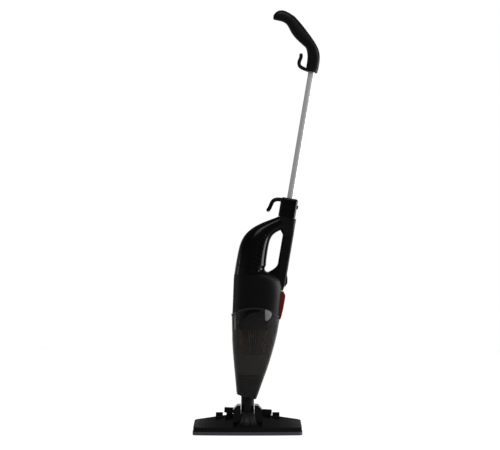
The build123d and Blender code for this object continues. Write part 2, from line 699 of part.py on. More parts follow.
def louvres():
    """Slots in the side of the housing, which fan out towards the grip."""
    slots = None
    for i in range(LOUVRE_COUNT):
        share = i / (LOUVRE_COUNT - 1)
        back = Vector(LOUVRE_LOWEST[0]) * (1 - share) + Vector(LOUVRE_HIGHEST[0]) * share
        front = Vector(LOUVRE_LOWEST[1]) * (1 - share) + Vector(LOUVRE_HIGHEST[1]) * share
        middle = (front + back) * 0.5
        turn = math.degrees(math.atan2(front.Y - back.Y, front.X - back.X))
        outline = Pos(middle.X, middle.Y) * Rot(0, 0, turn) * SlotOverall(
            (front - back).length, LOUVRE_HEIGHT
        )
        slot = side_plate(outline, 90)
        slots = slot if slots is None else slots + slot
    return slots - block(-FAR, FAR, -20, 20, 0, 2 * FAR)


def spine_solid(grow=0.0):
    """The frame that joins the housing to the wand: a straight spine that widens to a socket."""

    def ring(height, back, front, half, edge):
        size = (front - back + 2 * grow, 2 * half + 2 * grow)
        return Pos((front + back) / 2, 0, height) * RectangleRounded(*size, edge + grow)

    slim = (SPINE_BACK, SPINE_FRONT, SPINE_HALF, SPINE_EDGE)
    back, front = SOCKET_SHIFT - SOCKET_LENGTH / 2, SOCKET_SHIFT + SOCKET_LENGTH / 2
    wide = (back, front, SOCKET_WIDTH / 2, SOCKET_EDGE)
    toe = (SPINE_BACK, SPINE_FRONT - SPINE_TOE, SPINE_HALF, SPINE_EDGE)
    spine = extrude(ring(SPINE_SHOULDER, *slim), SOCKET_FLARE_LOW - SPINE_SHOULDER)
    spine += loft([ring(SPINE_LOW - grow, *toe), ring(SPINE_SHOULDER, *slim)])
    spine += loft([ring(SOCKET_FLARE_LOW, *slim), ring(SOCKET_FLARE_HIGH, *wide)])
    spine += extrude(ring(SOCKET_FLARE_HIGH, *wide), SOCKET_TOP - SOCKET_FLARE_HIGH)
    return LEANING * spine


def tongue_block(grow=0.0):
    low = SOCKET_TOP - TONGUE_DEPTH - grow
    size = (TONGUE_LENGTH + 2 * grow, TONGUE_WIDTH + 2 * grow)
    outline = Pos(COLLAR_SHIFT, 0, low) * RectangleRounded(*size, TONGUE_EDGE)
    return LEANING * extrude(outline, COLLAR_TOP - 10 - low)


def grip_spine():
    spine = spine_solid()
    spine -= tongue_block(SLIDE_GAP)
    low, high = SWITCH_LOW + 7, SWITCH_LOW + 25 + SWITCH_TRAVEL
    pocket = block(SPINE_FRONT - 8, SPINE_FRONT + 5, -5.4, 5.4, low, high)
    return spine - LEANING * pocket


def saddle():
    """The web that rises from the housing's shoulder to the spine and closes the foot of the hand hole."""
    low = MOTOR_HIGH + 2
    outline = make_face(
        Spline(*SADDLE_TOP)
        + Polyline(SADDLE_TOP[-1], (SADDLE_TOP[-1][0], low), (SADDLE_TOP[0][0], low), SADDLE_TOP[0])
    )
    web = side_plate(outline, SADDLE_HALF)
    return fillet(web.edges().filter_by(GeomType.BSPLINE), SADDLE_EDGE)


def housing_solid():
    shell = skin(HOUSING_SECTIONS) - under_seam(SEAM_GAP)
    groove = skin(HOUSING_SECTIONS) - skin(HOUSING_SECTIONS, GROOVE_DEPTH)
    shell -= groove & block(-90, 120, -90, 90, GROOVE_Z, GROOVE_Z + GROOVE_WIDTH)
    shell -= housing_cavity()
    shell += saddle()
    shell -= spine_solid(SEAT_GAP)
    shell -= latch_notch()
    shell -= latch_pins(RUNNING_GAP)
    shell -= rod(INLET_RADIUS, SEAM_CROWN - 34, SEAM_CROWN + 11, INLET_X)
    shell -= LEANING * block(-60, 60, -60, 60, SOCKET_TOP, 700)
    return shell - louvres()


def housing_screw(x, z, y, grow=0.0):
    """A pan-head screw whose axis lies along Y and whose head faces away from the middle."""
    side = math.copysign(1, y)
    head = Pos(x, y, z) * Rot(90, 0, 0) * Cylinder(SCREW_HEAD + grow, 3)
    shank = Pos(x, y - side * 7, z) * Rot(90, 0, 0) * Cylinder(SCREW_SHANK + grow, 12)
    return head + shank


def latch_profile():
    """The lever's side outline: its outer face, then its foot, its pivot and its top behind."""
    rear = [
        (LATCH_BACK_X + 2, LATCH_BOTTOM + 0.5),
        (LATCH_BACK_X, LATCH_BOTTOM + 10),
        (LATCH_BACK_X + 3, LATCH_PIVOT_Z),
        (LATCH_BACK_X + 8, LATCH_TOP - 1.5),
    ]
    return make_face(Polyline(*LATCH_FACE, *rear, close=True))


def latch_pins(grow=0.0):
    pin = Pos(LATCH_PIVOT_X, 0, LATCH_PIVOT_Z) * Rot(90, 0, 0)
    return pin * Cylinder(LATCH_PIN_RADIUS + grow, 2 * LATCH_HALF + 5)


def cup_release():
    lever = side_plate(fillet(latch_profile().vertices(), 1.2), LATCH_HALF)
    return lever + latch_pins()


def power_switch():
    outline = Polyline(
        (SPINE_FRONT + 0.3, SWITCH_LOW),
        (SPINE_FRONT + SWITCH_PROUD, SWITCH_LOW + 11),
        (SPINE_FRONT + 3.6, SWITCH_LOW + 22),
        (SPINE_FRONT + 0.3, SWITCH_HIGH),
        close=True,
    )
    cap = side_plate(make_face(outline), SWITCH_HALF)
    for i in range(SWITCH_GROOVES):
        w = SWITCH_LOW + 13 + 2.6 * i
        cap -= block(SPINE_FRONT + 3.4, SPINE_FRONT + 9, -SWITCH_HALF - 1, SWITCH_HALF + 1, w - 0.5, w + 0.5)
    stem = block(SPINE_FRONT - 6, SPINE_FRONT + 1, -5, 5, SWITCH_LOW + 8, SWITCH_LOW + 24)
    return LEANING * (cap + stem)


def motor():
    can = rod(MOTOR_RADIUS, MOTOR_LOW, MOTOR_HIGH, MOTOR_X)
    can = fillet(can.edges().group_by(Axis.Z)[-1], 4)
    return can - rod(SHAFT_RADIUS + RUNNING_GAP, MOTOR_LOW - 1, MOTOR_HIGH - 6, MOTOR_X)


def motor_deck():
    slab = block(-90, 120, -90, 90, MOTOR_LOW - 3, MOTOR_LOW)
    deck = skin(HOUSING_SECTIONS, HOUSING_WALL + SEAT_GAP) & slab
    deck -= rod(MOTOR_RADIUS - 6, MOTOR_LOW - 9, MOTOR_LOW + 9, MOTOR_X)
    return deck - block(LATCH_BACK_X - 7.3, 120, -90, 90, 300, 420)


def rotor():
    """The shaft and its fan: a disc with curved blades that face the filter."""
    shaft = rod(SHAFT_RADIUS, FAN_LOW - 2, MOTOR_HIGH - 8)
    disc = rod(FAN_RADIUS, FAN_HIGH - 2.5, FAN_HIGH)
    outer, inner = FAN_RADIUS - 1, FAN_RADIUS * 0.4
    bend, sweep_end = (FAN_RADIUS * 0.72, FAN_RADIUS * 0.12), (outer, -FAN_RADIUS * 0.05)
    arc = ThreePointArc((inner, 0), bend, sweep_end)
    thick = Vector(0, BLADE_THICKNESS)
    back = ThreePointArc(Vector(sweep_end) + thick, Vector(bend) + thick, Vector(inner, 0) + thick)
    ends = Line(arc @ 1, back @ 0) + Line(back @ 1, arc @ 0)
    blade = Pos(0, 0, FAN_LOW) * extrude(make_face(arc + back + ends), FAN_HIGH - FAN_LOW - 2)
    wheel_part = shaft + disc
    for i in range(FAN_BLADES):
        wheel_part += Rot(0, 0, 360 * i / FAN_BLADES) * blade
    return Pos(MOTOR_X, 0, 0) * wheel_part


def exhaust_foam():
    """Foam pads behind the louvres, one against each shell."""
    outer = skin(HOUSING_SECTIONS[4:17], HOUSING_WALL + SEAT_GAP)
    inner = skin(HOUSING_SECTIONS[4:17], HOUSING_WALL + SEAT_GAP + FOAM_THICKNESS)
    pads = (outer - inner) & block(*FOAM_X, -FAR, FAR, *FOAM_Z)
    return pads - block(-FAR, FAR, -FOAM_INNER_Y, FOAM_INNER_Y, 0, 2 * FAR)


def cord_bush():
    """The rubber sleeve where the mains cord enters, on the far side."""
    sleeve = Cylinder(8, CORD_BUSH_LENGTH) - Cylinder(4, CORD_BUSH_LENGTH + 2)
    return Pos(CORD_X, CORD_Y + CORD_BUSH_LENGTH / 2, CORD_Z) * Rot(90, 0, 0) * sleeve


# ---- wand ----


def wand_tube():
    return LEANING * tube(WAND_RADIUS, WAND_RADIUS - WAND_WALL, WAND_BOTTOM, WAND_TOP)


def tube_hole():
    return LEANING * rod(WAND_RADIUS + SEAT_GAP, WAND_BOTTOM - 0.5, WAND_TOP + 0.5)


def swept_hook(route, width, thickness):
    """A rounded bar along a smooth route in the XZ plane, with a rounded free end."""
    path = SIDE * Spline(*route)
    start = Plane(origin=path @ 0, x_dir=(0, 1, 0), z_dir=path % 0)
    bar = sweep(start * Ellipse(width / 2, thickness / 2), path=path)
    tip = path @ 1
    knob = scale(Sphere(thickness / 2), by=(1, width / thickness, 1))
    return bar + Pos(tip.X, tip.Y, tip.Z) * knob


def lower_hook():
    """The fixed hook on the collar's back, which holds the lower end of the cord's turns."""
    return swept_hook(LOWER_HOOK_ROUTE, HOOK_WIDTH, LOWER_HOOK_THICKNESS)


def collar():
    low = SOCKET_TOP + SEAM_GAP
    outline = Pos(COLLAR_SHIFT, 0, low) * RectangleRounded(COLLAR_LENGTH, COLLAR_WIDTH, SOCKET_EDGE)
    body = extrude(outline, COLLAR_TOP - low)
    body = fillet(body.edges().group_by(Axis.Z)[-1], 6)
    body += lower_hook()
    bore = Pos(COLLAR_FRONT - 7, 0, BUTTON_W) * Rot(0, 90, 0) * Cylinder(BUTTON_RADIUS + 0.3, 15)
    body = LEANING * (body - bore)
    return body + tongue_block() - tube_hole() - LEANING * bore


def lock_button():
    high = COLLAR_FRONT + BUTTON_PROUD
    low = high - BUTTON_LENGTH
    button = Pos((low + high) / 2, 0, BUTTON_W) * Rot(0, 90, 0) * Cylinder(BUTTON_RADIUS, BUTTON_LENGTH)
    return LEANING * fillet(button.edges().group_by(Axis.X)[-1], 1.5)


def upper_hook():
    """The hook that swings round the tube to let the cord drop off."""
    low, high = UPPER_HOOK_RING
    ring = rod(UPPER_HOOK_RADIUS, low, high)
    arm = swept_hook(UPPER_HOOK_ROUTE, HOOK_WIDTH, UPPER_HOOK_THICKNESS)
    arm &= block(-FAR, 0, -FAR, FAR, low - 0.01, 4 * FAR)
    arm -= rod(GRIP_REACH, high, 4 * FAR)
    return LEANING * (ring + arm - rod(WAND_RADIUS + RUNNING_GAP, low - 9, high + 9))


def grip():
    grip_body = skin(GRIP_SECTIONS) - skin(GRIP_SECTIONS[3:-1], GRIP_WALL)
    return LEANING * grip_body - tube_hole()


# ---- export ----


def pieces():
    """Every piece, by name."""
    tyre, rim = wheel()
    shells = housing_solid()
    for x, z, y in HOUSING_SCREWS:
        shells -= housing_screw(x, z, y, SEAT_GAP)
    shells -= Pos(CORD_X, CORD_Y + 10, CORD_Z) * Rot(90, 0, 0) * Cylinder(8 + SEAT_GAP, 30)
    handle = grip()
    for u, w, y in GRIP_SCREWS:
        handle -= LEANING * housing_screw(u, w, y, SEAT_GAP)
    named = {
        "head_cover": head_cover(),
        "throat_cover": throat_cover(),
        "sole_plate": sole_plate(),
        "bumper_strip": bumper(),
        "wheel_tyre_left": mirror(tyre, about=Plane.YZ),
        "wheel_rim_left": mirror(rim, about=Plane.YZ),
        "wheel_tyre_right": tyre,
        "wheel_rim_right": rim,
        "axle_left": mirror(axle(), about=Plane.YZ),
        "axle_right": axle(),
        "pedal": pedal(),
        "pedal_pin": pedal_pin(),
        "bristle_front": bristle_strip(BRISTLE_ROWS_Y[0]),
        "bristle_rear": bristle_strip(BRISTLE_ROWS_Y[1]),
        "brush_carrier": brush_carrier(),
        "neck_pipe": neck_pipe(),
        "neck_seal": neck_seal(),
        "cup_shell": cup_shell(),
        "cup_rim": cup_rim(),
        "nozzle_insert": nozzle_insert(),
        "inlet_flap": inlet_flap(),
        "filter": pleated_filter(),
        "filter_holder": filter_holder(),
        "housing_near": near_half(shells),
        "housing_far": shells & block(-FAR, FAR, 0, FAR, -FAR, 4 * FAR),
        "grip_spine": grip_spine(),
        "cup_release": cup_release(),
        "power_switch": power_switch(),
        "motor": motor(),
        "motor_deck": motor_deck(),
        "rotor": rotor(),
        "cord_bush": cord_bush(),
        "exhaust_foam": exhaust_foam(),
        "wand_tube": wand_tube(),
        "wand_collar": collar(),
        "lock_button": lock_button(),
        "upper_hook": upper_hook(),
        "grip_near": near_half(handle),
        "grip_far": handle & block(-FAR, FAR, 0, FAR, -FAR, 4 * FAR),
    }
    for i, (x, z, y) in enumerate(HOUSING_SCREWS):
        named[f"housing_screw_{i + 1}"] = housing_screw(x, z, y)
    for i, (u, w, y) in enumerate(GRIP_SCREWS):
        named[f"grip_screw_{i + 1}"] = LEANING * housing_screw(u, w, y)
    return named


def main():
    os.makedirs("parts", exist_ok=True)
    for name, shape in pieces().items():
        export_step(shape, f"parts/{name}.step")


main()
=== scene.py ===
"""Looks of an upright stick vacuum cleaner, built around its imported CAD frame."""

import json
import math
import random

import bmesh
import bpy
import numpy as np
from bpy.props import FloatProperty, FloatVectorProperty, IntProperty, PointerProperty
from mathutils import Matrix, Vector
from mathutils.bvhtree import BVHTree


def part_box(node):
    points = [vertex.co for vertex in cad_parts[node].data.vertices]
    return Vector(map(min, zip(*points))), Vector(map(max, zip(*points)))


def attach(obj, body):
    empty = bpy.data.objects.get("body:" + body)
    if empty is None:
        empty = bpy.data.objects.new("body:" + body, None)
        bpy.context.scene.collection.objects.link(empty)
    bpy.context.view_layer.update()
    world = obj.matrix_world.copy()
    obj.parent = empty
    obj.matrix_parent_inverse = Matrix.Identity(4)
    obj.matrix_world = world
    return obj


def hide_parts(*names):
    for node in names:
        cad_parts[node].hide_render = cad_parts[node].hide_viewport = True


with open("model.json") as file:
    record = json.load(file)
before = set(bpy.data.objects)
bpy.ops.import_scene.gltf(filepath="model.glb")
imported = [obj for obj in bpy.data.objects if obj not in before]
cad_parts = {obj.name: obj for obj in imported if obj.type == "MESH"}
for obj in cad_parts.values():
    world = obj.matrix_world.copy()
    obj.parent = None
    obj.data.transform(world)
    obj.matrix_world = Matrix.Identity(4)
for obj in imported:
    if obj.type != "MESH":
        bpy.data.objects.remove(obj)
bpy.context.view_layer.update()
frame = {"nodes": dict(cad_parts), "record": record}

bl_info = {
    "name": "Upright Stick Vacuum Cleaner",
    "version": (1, 0, 0),
    "blender": (4, 5, 0),
    "location": "View3D > Sidebar > Vacuum",
    "description": "Finishes and fine pieces for an upright stick vacuum cleaner",
    "category": "Object",
}

NODES = frame["nodes"]
BODIES = frame["record"]["behaviour"]["bodies"]
BODY_OF = {node: body for body, nodes in BODIES.items() for node in nodes}

# The finishes by name, which the first operator makes
FINISHES = {}

# Edges that turn by more than this stay crisp, on the CAD pieces and on the fine pieces
NODE_EDGE = math.radians(32)
PIECE_EDGE = math.radians(35)

# ---- numbers of the finishes; lengths are in metres ----

PLASTIC_IOR = 1.48
CLEAR_IOR = 1.46
CLEAR_GLOSS = 0.28  # specular level of the cup
CASING_GLOSS = 0.24  # specular level of the casings
TRIM_GLOSS = 0.26
GRAIN_DEPTH = 0.0002
RUB_REACH = 0.0007
WORN_FLOOR, WORN_GAIN = 0.03, 1.5  # a rubbed edge is the colour times the gain, on top of the floor
GROOVE_BAND = (0.417, 0.421)  # heights between which the housing goes from satin to gloss
SATIN_ROUGHNESS = 0.5
FILTER_PLEATS = 36
RIDGE_BAND = (-0.4, 0.9)  # where a pleat goes from its fold, in painted shade, to its ridge, as a cosine
FOLD_SHADE = (0.006, 0.006, 0.005)
STAIN = (0.55, 0.72, 0.6)  # what a stain leaves of the paper's red, green and blue
PAPER_GRAIN, PAPER_GRAIN_SCALE, PAPER_GRAIN_DEPTH = 0.4, 1400.0, 0.0003
FOAM_CELLS = 900
FOAM_WALL = (0.012, 0.012, 0.013)
FOAM_PORE_SHADE = (0.002, 0.002, 0.002)
FOAM_DEPTH = 0.0006

# ---- numbers of the fine pieces; lengths are in metres ----

AXIS_GAP = 0.0001  # radius of the pinhole that a turned piece keeps on its axis

TYRE_THICKNESS = 0.004
TYRE_SHOULDER = 0.002
TYRE_CORNER = 0.0006
TREAD_EDGE = 0.001  # how far under the tread a point may lie and still be grooved
STEPS_PER_GROOVE = 4

SCREW_STEPS = 40
SCREW_DOME = ((0.55, 0.0001), (0.85, 0.0005), (1.0, 0.0013))  # share of the radius, drop below the face
SCREW_HEAD = 0.003
SCREW_SHANK = 0.48  # share of the head's radius
CROSS_HALF, CROSS_TOP, CROSS_FOOT = 0.00055, 0.0008, -0.0017
CROSS_TAPER = 3.2  # the cross's length over the half length of its foot

BAR_HEIGHT, BAR_EDGE, BAR_MARGIN = 0.003, 0.0008, 0.004
TUFT_RADIUS = 0.0011
LEAN_ALONG, LEAN_ACROSS = 0.0008, 0.0003
TIP_SCATTER = 0.0004
FILAMENT_RADIUS, FILAMENT_TAPER = 0.00013, 0.6

BUSH_STEPS = 64
BUSH_STEM = 0.55  # share of the bush's length
BUSH_BORE = 0.5  # share of the bush's radius, as the next two are
BUSH_FIRST_RIB, BUSH_RIB_TAPER = 0.93, 0.22
BUSH_RIB_DEPTH = 0.0009

RAY_START = 0.2  # how far out a ray starts that looks for a surface

# Corners of the silver plate that paints a highlight on the cup, as X and Z
HIGHLIGHT_PLATE_OUTLINE = [
    (0.0456, 0.3035),
    (0.0456, 0.3165),
    (0.0458, 0.3293),
    (0.0525, 0.3268),
    (0.0590, 0.3237),
    (0.0628, 0.3190),
    (0.0626, 0.3120),
    (0.0585, 0.3050),
    (0.0525, 0.3000),
    (0.0475, 0.2985),
]
HIGHLIGHT_PLATE_STEPS = 12  # points on each side of the outline, and rounds of averaging
HIGHLIGHT_PLATE_RINGS = 7
HIGHLIGHT_PLATE_BEVEL = 0.0003
HIGHLIGHT_PLATE_GAP = 0.00002

# The throat cover, from the neck's foot to the front of the head
THROAT_ROWS, THROAT_COLUMNS = 28, 61
THROAT_BACK, THROAT_FRONT = -0.0222, -0.0535
THROAT_HALF, THROAT_FLARE, THROAT_FLARE_POWER = 0.0200, 0.0170, 1.3
THROAT_RISE, THROAT_RISE_POWER = 0.0265, 2.6
THROAT_BODY = 0.0015  # a height that falls evenly from back to front, added to the rise
THROAT_LEAST = 0.0004
THROAT_PROUD, THROAT_SUNK = 0.0003, 0.0005  # how far its sheets lie above and below the head's top
THROAT_PROBE = 0.03  # how far to the side the head's own top is read, clear of the CAD hump
THROAT_RIBS = (-0.34, 0.3)  # places of the two ribs, as shares of the half width
THROAT_RIB_WIDTH, THROAT_RIB_HEIGHT = 0.07, 0.0015

# ---- numbers of the stage ----

FLOOR_RADIUS, FLOOR_DROP = 2.4, 0.0006
FLOOR_GREY, FLOOR_GLOW = 0.5, 0.86
# What gloss sees of the surround, and the heights and directions between which each part fades
GLOW_BEHIND, BEHIND_BAND = 0.9, (0.84, 0.99)
GLOW_LEFT, LEFT_BAND = 0.16, (-0.95, -0.2)
LOW_BAND = (0.1, 0.28)
GLOW_LEVELS, LEVEL_BAND = (0.07, 0.05), (0.12, 0.5)
SCATTERED_LIGHT = 0.2
INSIDE_LIGHT = 8.0  # extra light for what stands inside clear plastic

# Name, place, point it faces, width, height and power of each lamp
LAMPS = (
    ("Right Box", (1.9, 0.35, 0.52), (0.05, 0, 0.52), 1.5, 0.9, 24),
    ("Wand Box", (1.5, -0.7, 1.5), (0.14, 0, 0.8), 0.5, 0.5, 5),
    ("Left Box", (-2.1, 0.5, 0.4), (0, 0, 0.4), 0.4, 0.9, 2),
    ("Top Box", (0.1, -1.2, 2.3), (0.05, 0, 0.55), 1.2, 1.0, 9),
)
CAMERA_PLACE = (0.0064, -3.06, 0.5488)
CAMERA_LENS, CAMERA_SENSOR = 83.14, 36


def colour_property(name, description, default):
    """A colour that the panel shows."""
    return FloatVectorProperty(
        name=name, description=description, default=default, subtype="COLOR", size=3, min=0, max=1
    )


def length_property(name, description, default):
    """A length that the panel shows."""
    return FloatProperty(
        name=name, description=description, default=default, min=0, max=1, unit="LENGTH", precision=5
    )


def count_property(name, description, default, least):
    """A number of things that the panel shows."""
    return IntProperty(name=name, description=description, default=default, min=least)


class VacuumColours(bpy.types.PropertyGroup):
    """Colours of the finishes."""

    casing: colour_property("Casing", "Black of the housing and the head", (0.0042, 0.0042, 0.0050))
    trim: colour_property("Trim", "Satin black of the grip and the small parts", (0.0060, 0.0060, 0.0068))
    bumper: colour_property("Bumper", "Grey of the strip round the floor head", (0.105, 0.115, 0.130))
    rubber: colour_property("Rubber", "Black of the tyres and seals", (0.012, 0.012, 0.012))
    cup: colour_property("Cup", "Smoky tint of the clear cup", (0.092, 0.088, 0.083))
    paper: colour_property("Filter paper", "Tan of the pleated filter", (0.95, 0.66, 0.34))
    release: colour_property("Release", "Dark red of the cup release", (0.25, 0.010, 0.012))
    tube: colour_property("Tube", "Pale grey of the wand's tube", (0.93, 0.93, 0.92))
    steel: colour_property("Steel", "Grey of the plated screws and pins", (0.22, 0.22, 0.23))
    bristle: colour_property("Bristle", "Black of the bristles", (0.015, 0.015, 0.015))
    # partly the rim's own grey and partly painted highlight: lighter than the casing to show the light it
    # catches along the cup's upper edge
    rim: colour_property("Rim", "Grey of the band round the cup's upper edge", (0.030, 0.030, 0.032))
    # painted highlight: the silver grey of the plate on the cup stands in for a reflection of light on
    # the cup's band
    highlight_patch: colour_property("Highlight Patch", "Silver grey of the plate on the cup", (0.62, 0.62, 0.61))


class VacuumSizes(bpy.types.PropertyGroup):
    """Sizes of the fine pieces."""

    screw_cross: length_property("Cross recess", "Length of the cross in each screw head", 0.0042)
    tread_depth: length_property("Tread depth", "Depth of the grooves in the tyres", 0.0007)
    tread_count: count_property("Tread grooves", "Grooves round each tyre", 28, 8)
    tuft_pitch: length_property("Tuft pitch", "Distance between the tufts of bristle", 0.0036)
    tuft_filaments: count_property("Filaments", "Filaments in each tuft", 11, 3)
    bush_ribs: count_property("Bush ribs", "Ribs round the cord's bush", 5, 2)
    # thickness of the plate that paints a highlight on the cup
    highlight_plate_thickness: length_property("Plate", "Thickness of the bare plate on the cup", 0.0008)


# ---- shader helpers ----


def new_group(name, inputs, outputs):
    """An empty shader node group with float or colour sockets."""
    group = bpy.data.node_groups.new(name, "ShaderNodeTree")
    for label, kind, value in inputs:
        socket = group.interface.new_socket(name=label, in_out="INPUT", socket_type=kind)
        if value is not None:
            socket.default_value = value
    for label, kind in outputs:
        group.interface.new_socket(name=label, in_out="OUTPUT", socket_type=kind)
    start = group.nodes.new("NodeGroupInput")
    end = group.nodes.new("NodeGroupOutput")
    return group, start, end


def add_node(tree, kind, **settings):
    """A new node with its settings."""
    node = tree.nodes.new(kind)
    for key, value in settings.items():
        setattr(node, key, value)
    return node


def feed(tree, value, socket):
    """Sets a socket to a number, or links another socket to it."""
    if isinstance(value, (int, float)):
        socket.default_value = value
    else:
        tree.links.new(value, socket)


def math_node(tree, operation, *operands):
    """A Math node; each operand is a socket or a number."""
    node = add_node(tree, "ShaderNodeMath", operation=operation)
    for index, operand in enumerate(operands):
        feed(tree, operand, node.inputs[index])
    return node.outputs[0]


def object_place(tree):
    """The point on the surface, in the object's own space."""
    return add_node(tree, "ShaderNodeTexCoord").outputs["Object"]


def object_noise(tree, scale, detail=2):
    """Noise over the surface, in the object's own space; the scale is a socket or a number."""
    noise = add_node(tree, "ShaderNodeTexNoise")
    noise.inputs["Detail"].default_value = detail
    feed(tree, scale, noise.inputs["Scale"])
    tree.links.new(object_place(tree), noise.inputs["Vector"])
    return noise.outputs["Fac"]


def faded(tree, value, low, high, start, end):
    """A smooth change from start to end while a value goes from low to high."""
    ramp = add_node(tree, "ShaderNodeMapRange", interpolation_type="SMOOTHSTEP")
    for key, number in (("From Min", low), ("From Max", high), ("To Min", start), ("To Max", end)):
        ramp.inputs[key].default_value = number
    tree.links.new(value, ramp.inputs["Value"])
    return ramp.outputs["Result"]


def smudge_group():
    """Soft, uneven handling marks: a roughness that wanders between two values."""
    group, start, end = new_group(
        "Handling Smudges",
        [
            ("Scale", "NodeSocketFloat", 18.0),
            ("Clean", "NodeSocketFloat", 0.12),
            ("Smudged", "NodeSocketFloat", 0.22),
        ],
        [("Roughness", "NodeSocketFloat")],
    )
    noise = object_noise(group, start.outputs["Scale"], detail=4)
    spread = add_node(group, "ShaderNodeMapRange")
    spread.inputs["From Min"].default_value = 0.35
    spread.inputs["From Max"].default_value = 0.7
    group.links.new(noise, spread.inputs["Value"])
    group.links.new(start.outputs["Clean"], spread.inputs["To Min"])
    group.links.new(start.outputs["Smudged"], spread.inputs["To Max"])
    group.links.new(spread.outputs["Result"], end.inputs["Roughness"])
    return group


def grain_group():
    """Fine spark-eroded grain of moulded plastic, as a height."""
    group, start, end = new_group(
        "Moulded Grain", [("Scale", "NodeSocketFloat", 900.0)], [("Height", "NodeSocketFloat")]
    )
    group.links.new(object_noise(group, start.outputs["Scale"]), end.inputs["Height"])
    return group


def tone_group():
    """A colour that drifts a little lighter and darker over the surface."""
    group, start, end = new_group(
        "Tone Drift",
        [
            ("Colour", "NodeSocketColor", None),
            ("Scale", "NodeSocketFloat", 9.0),
            ("Amount", "NodeSocketFloat", 0.12),
        ],
        [("Colour", "NodeSocketColor")],
    )
    centred = math_node(group, "SUBTRACT", object_noise(group, start.outputs["Scale"]), 0.5)
    swing = math_node(group, "MULTIPLY", centred, start.outputs["Amount"])
    factor = math_node(group, "ADD", math_node(group, "MULTIPLY", swing, 2.0), 1.0)
    tint = add_node(group, "ShaderNodeMix", data_type="RGBA", blend_type="MULTIPLY")
    tint.inputs["Factor"].default_value = 1
    group.links.new(start.outputs["Colour"], tint.inputs["A"])
    group.links.new(factor, tint.inputs["B"])
    group.links.new(tint.outputs["Result"], end.inputs["Colour"])
    return group


def rubbed_group():
    """Where edges are rubbed: a mask that is 1 on tight outer edges and fades out on the flats."""
    group, start, end = new_group(
        "Rubbed Edges",
        [("Reach", "NodeSocketFloat", RUB_REACH), ("Amount", "NodeSocketFloat", 0.6)],
        [("Mask", "NodeSocketFloat")],
    )
    bevel = add_node(group, "ShaderNodeBevel", samples=4)
    group.links.new(start.outputs["Reach"], bevel.inputs["Radius"])
    surface = add_node(group, "ShaderNodeNewGeometry")
    turn = add_node(group, "ShaderNodeVectorMath", operation="DOT_PRODUCT")
    group.links.new(bevel.outputs["Normal"], turn.inputs[0])
    group.links.new(surface.outputs["Normal"], turn.inputs[1])
    edge = add_node(group, "ShaderNodeMapRange")
    edge.inputs["From Min"].default_value = 0.995
    edge.inputs["From Max"].default_value = 0.9
    group.links.new(turn.outputs["Value"], edge.inputs["Value"])
    broken = math_node(group, "MULTIPLY", edge.outputs["Result"], object_noise(group, 70))
    group.links.new(math_node(group, "MULTIPLY", broken, start.outputs["Amount"]), end.inputs["Mask"])
    return group


SMUDGES = smudge_group()
GRAIN = grain_group()
TONE = tone_group()
RUBBED = rubbed_group()


def place_group(tree, group, **values):
    """A shared group placed in a material, with its own values."""
    node = add_node(tree, "ShaderNodeGroup", node_tree=group)
    for key, value in values.items():
        node.inputs[key].default_value = value
    return node


def principled(name):
    """A new material with its Principled shader."""
    material = bpy.data.materials.new(name)
    material.use_nodes = True
    return material, material.node_tree, material.node_tree.nodes["Principled BSDF"]


def moulded(name, colour, clean, smudged, grain=0.0, grain_scale=900.0, gloss=0.5, rubbed=0.0):
    """A moulded plastic or rubber: drifting tone, smudged gloss, rubbed edges and a fine grain."""
    material, tree, shader = principled(name)
    tone = place_group(tree, TONE, Colour=(*colour, 1), Scale=9.0, Amount=0.12)
    if rubbed:
        worn = place_group(tree, RUBBED, Reach=RUB_REACH, Amount=rubbed)
        mix = add_node(tree, "ShaderNodeMix", data_type="RGBA")
        mix.inputs["B"].default_value = (*(WORN_FLOOR + WORN_GAIN * c for c in colour), 1)
        tree.links.new(worn.outputs["Mask"], mix.inputs["Factor"])
        tree.links.new(tone.outputs["Colour"], mix.inputs["A"])
        tree.links.new(mix.outputs["Result"], shader.inputs["Base Color"])
    else:
        tree.links.new(tone.outputs["Colour"], shader.inputs["Base Color"])
    smudge = place_group(tree, SMUDGES, Scale=18.0, Clean=clean, Smudged=smudged)
    tree.links.new(smudge.outputs["Roughness"], shader.inputs["Roughness"])
    shader.inputs["IOR"].default_value = PLASTIC_IOR
    shader.inputs["Specular IOR Level"].default_value = gloss
    if grain:
        bump_grain(tree, shader, grain, grain_scale, GRAIN_DEPTH)
    return material


def housing_finish(name, colour):
    """The housing's plastic: satin under its groove, and glossy above it."""
    material = moulded(name, colour, 0.12, 0.2, gloss=CASING_GLOSS, rubbed=0.25)
    tree = material.node_tree
    shader = tree.nodes["Principled BSDF"]
    glossy = shader.inputs["Roughness"].links[0].from_socket
    split = add_node(tree, "ShaderNodeSeparateXYZ")
    tree.links.new(object_place(tree), split.inputs[0])
    upper = faded(tree, split.outputs["Z"], *GROOVE_BAND, 0.0, 1.0)
    blend = add_node(tree, "ShaderNodeMix", data_type="FLOAT")
    tree.links.new(upper, blend.inputs["Factor"])
    blend.inputs["A"].default_value = SATIN_ROUGHNESS
    tree.links.new(glossy, blend.inputs["B"])
    tree.links.new(blend.outputs["Result"], shader.inputs["Roughness"])
    return material


def bump_grain(tree, shader, strength, scale, distance):
    """Feeds the shader's normal from the moulded grain."""
    height = place_group(tree, GRAIN, Scale=scale)
    bump = add_node(tree, "ShaderNodeBump")
    bump.inputs["Strength"].default_value = strength
    bump.inputs["Distance"].default_value = distance
    tree.links.new(height.outputs["Height"], bump.inputs["Height"])
    tree.links.new(bump.outputs["Normal"], shader.inputs["Normal"])


def metal(name, colour, clean, smudged, metallic=1.0):
    """Plated, painted or brushed metal: a slightly drifting tone under a smudged gloss."""
    material, tree, shader = principled(name)
    tone = place_group(tree, TONE, Colour=(*colour, 1), Scale=14.0, Amount=0.08)
    tree.links.new(tone.outputs["Colour"], shader.inputs["Base Color"])
    smudge = place_group(tree, SMUDGES, Scale=30.0, Clean=clean, Smudged=smudged)
    tree.links.new(smudge.outputs["Roughness"], shader.inputs["Roughness"])
    shader.inputs["Metallic"].default_value = metallic
    return material


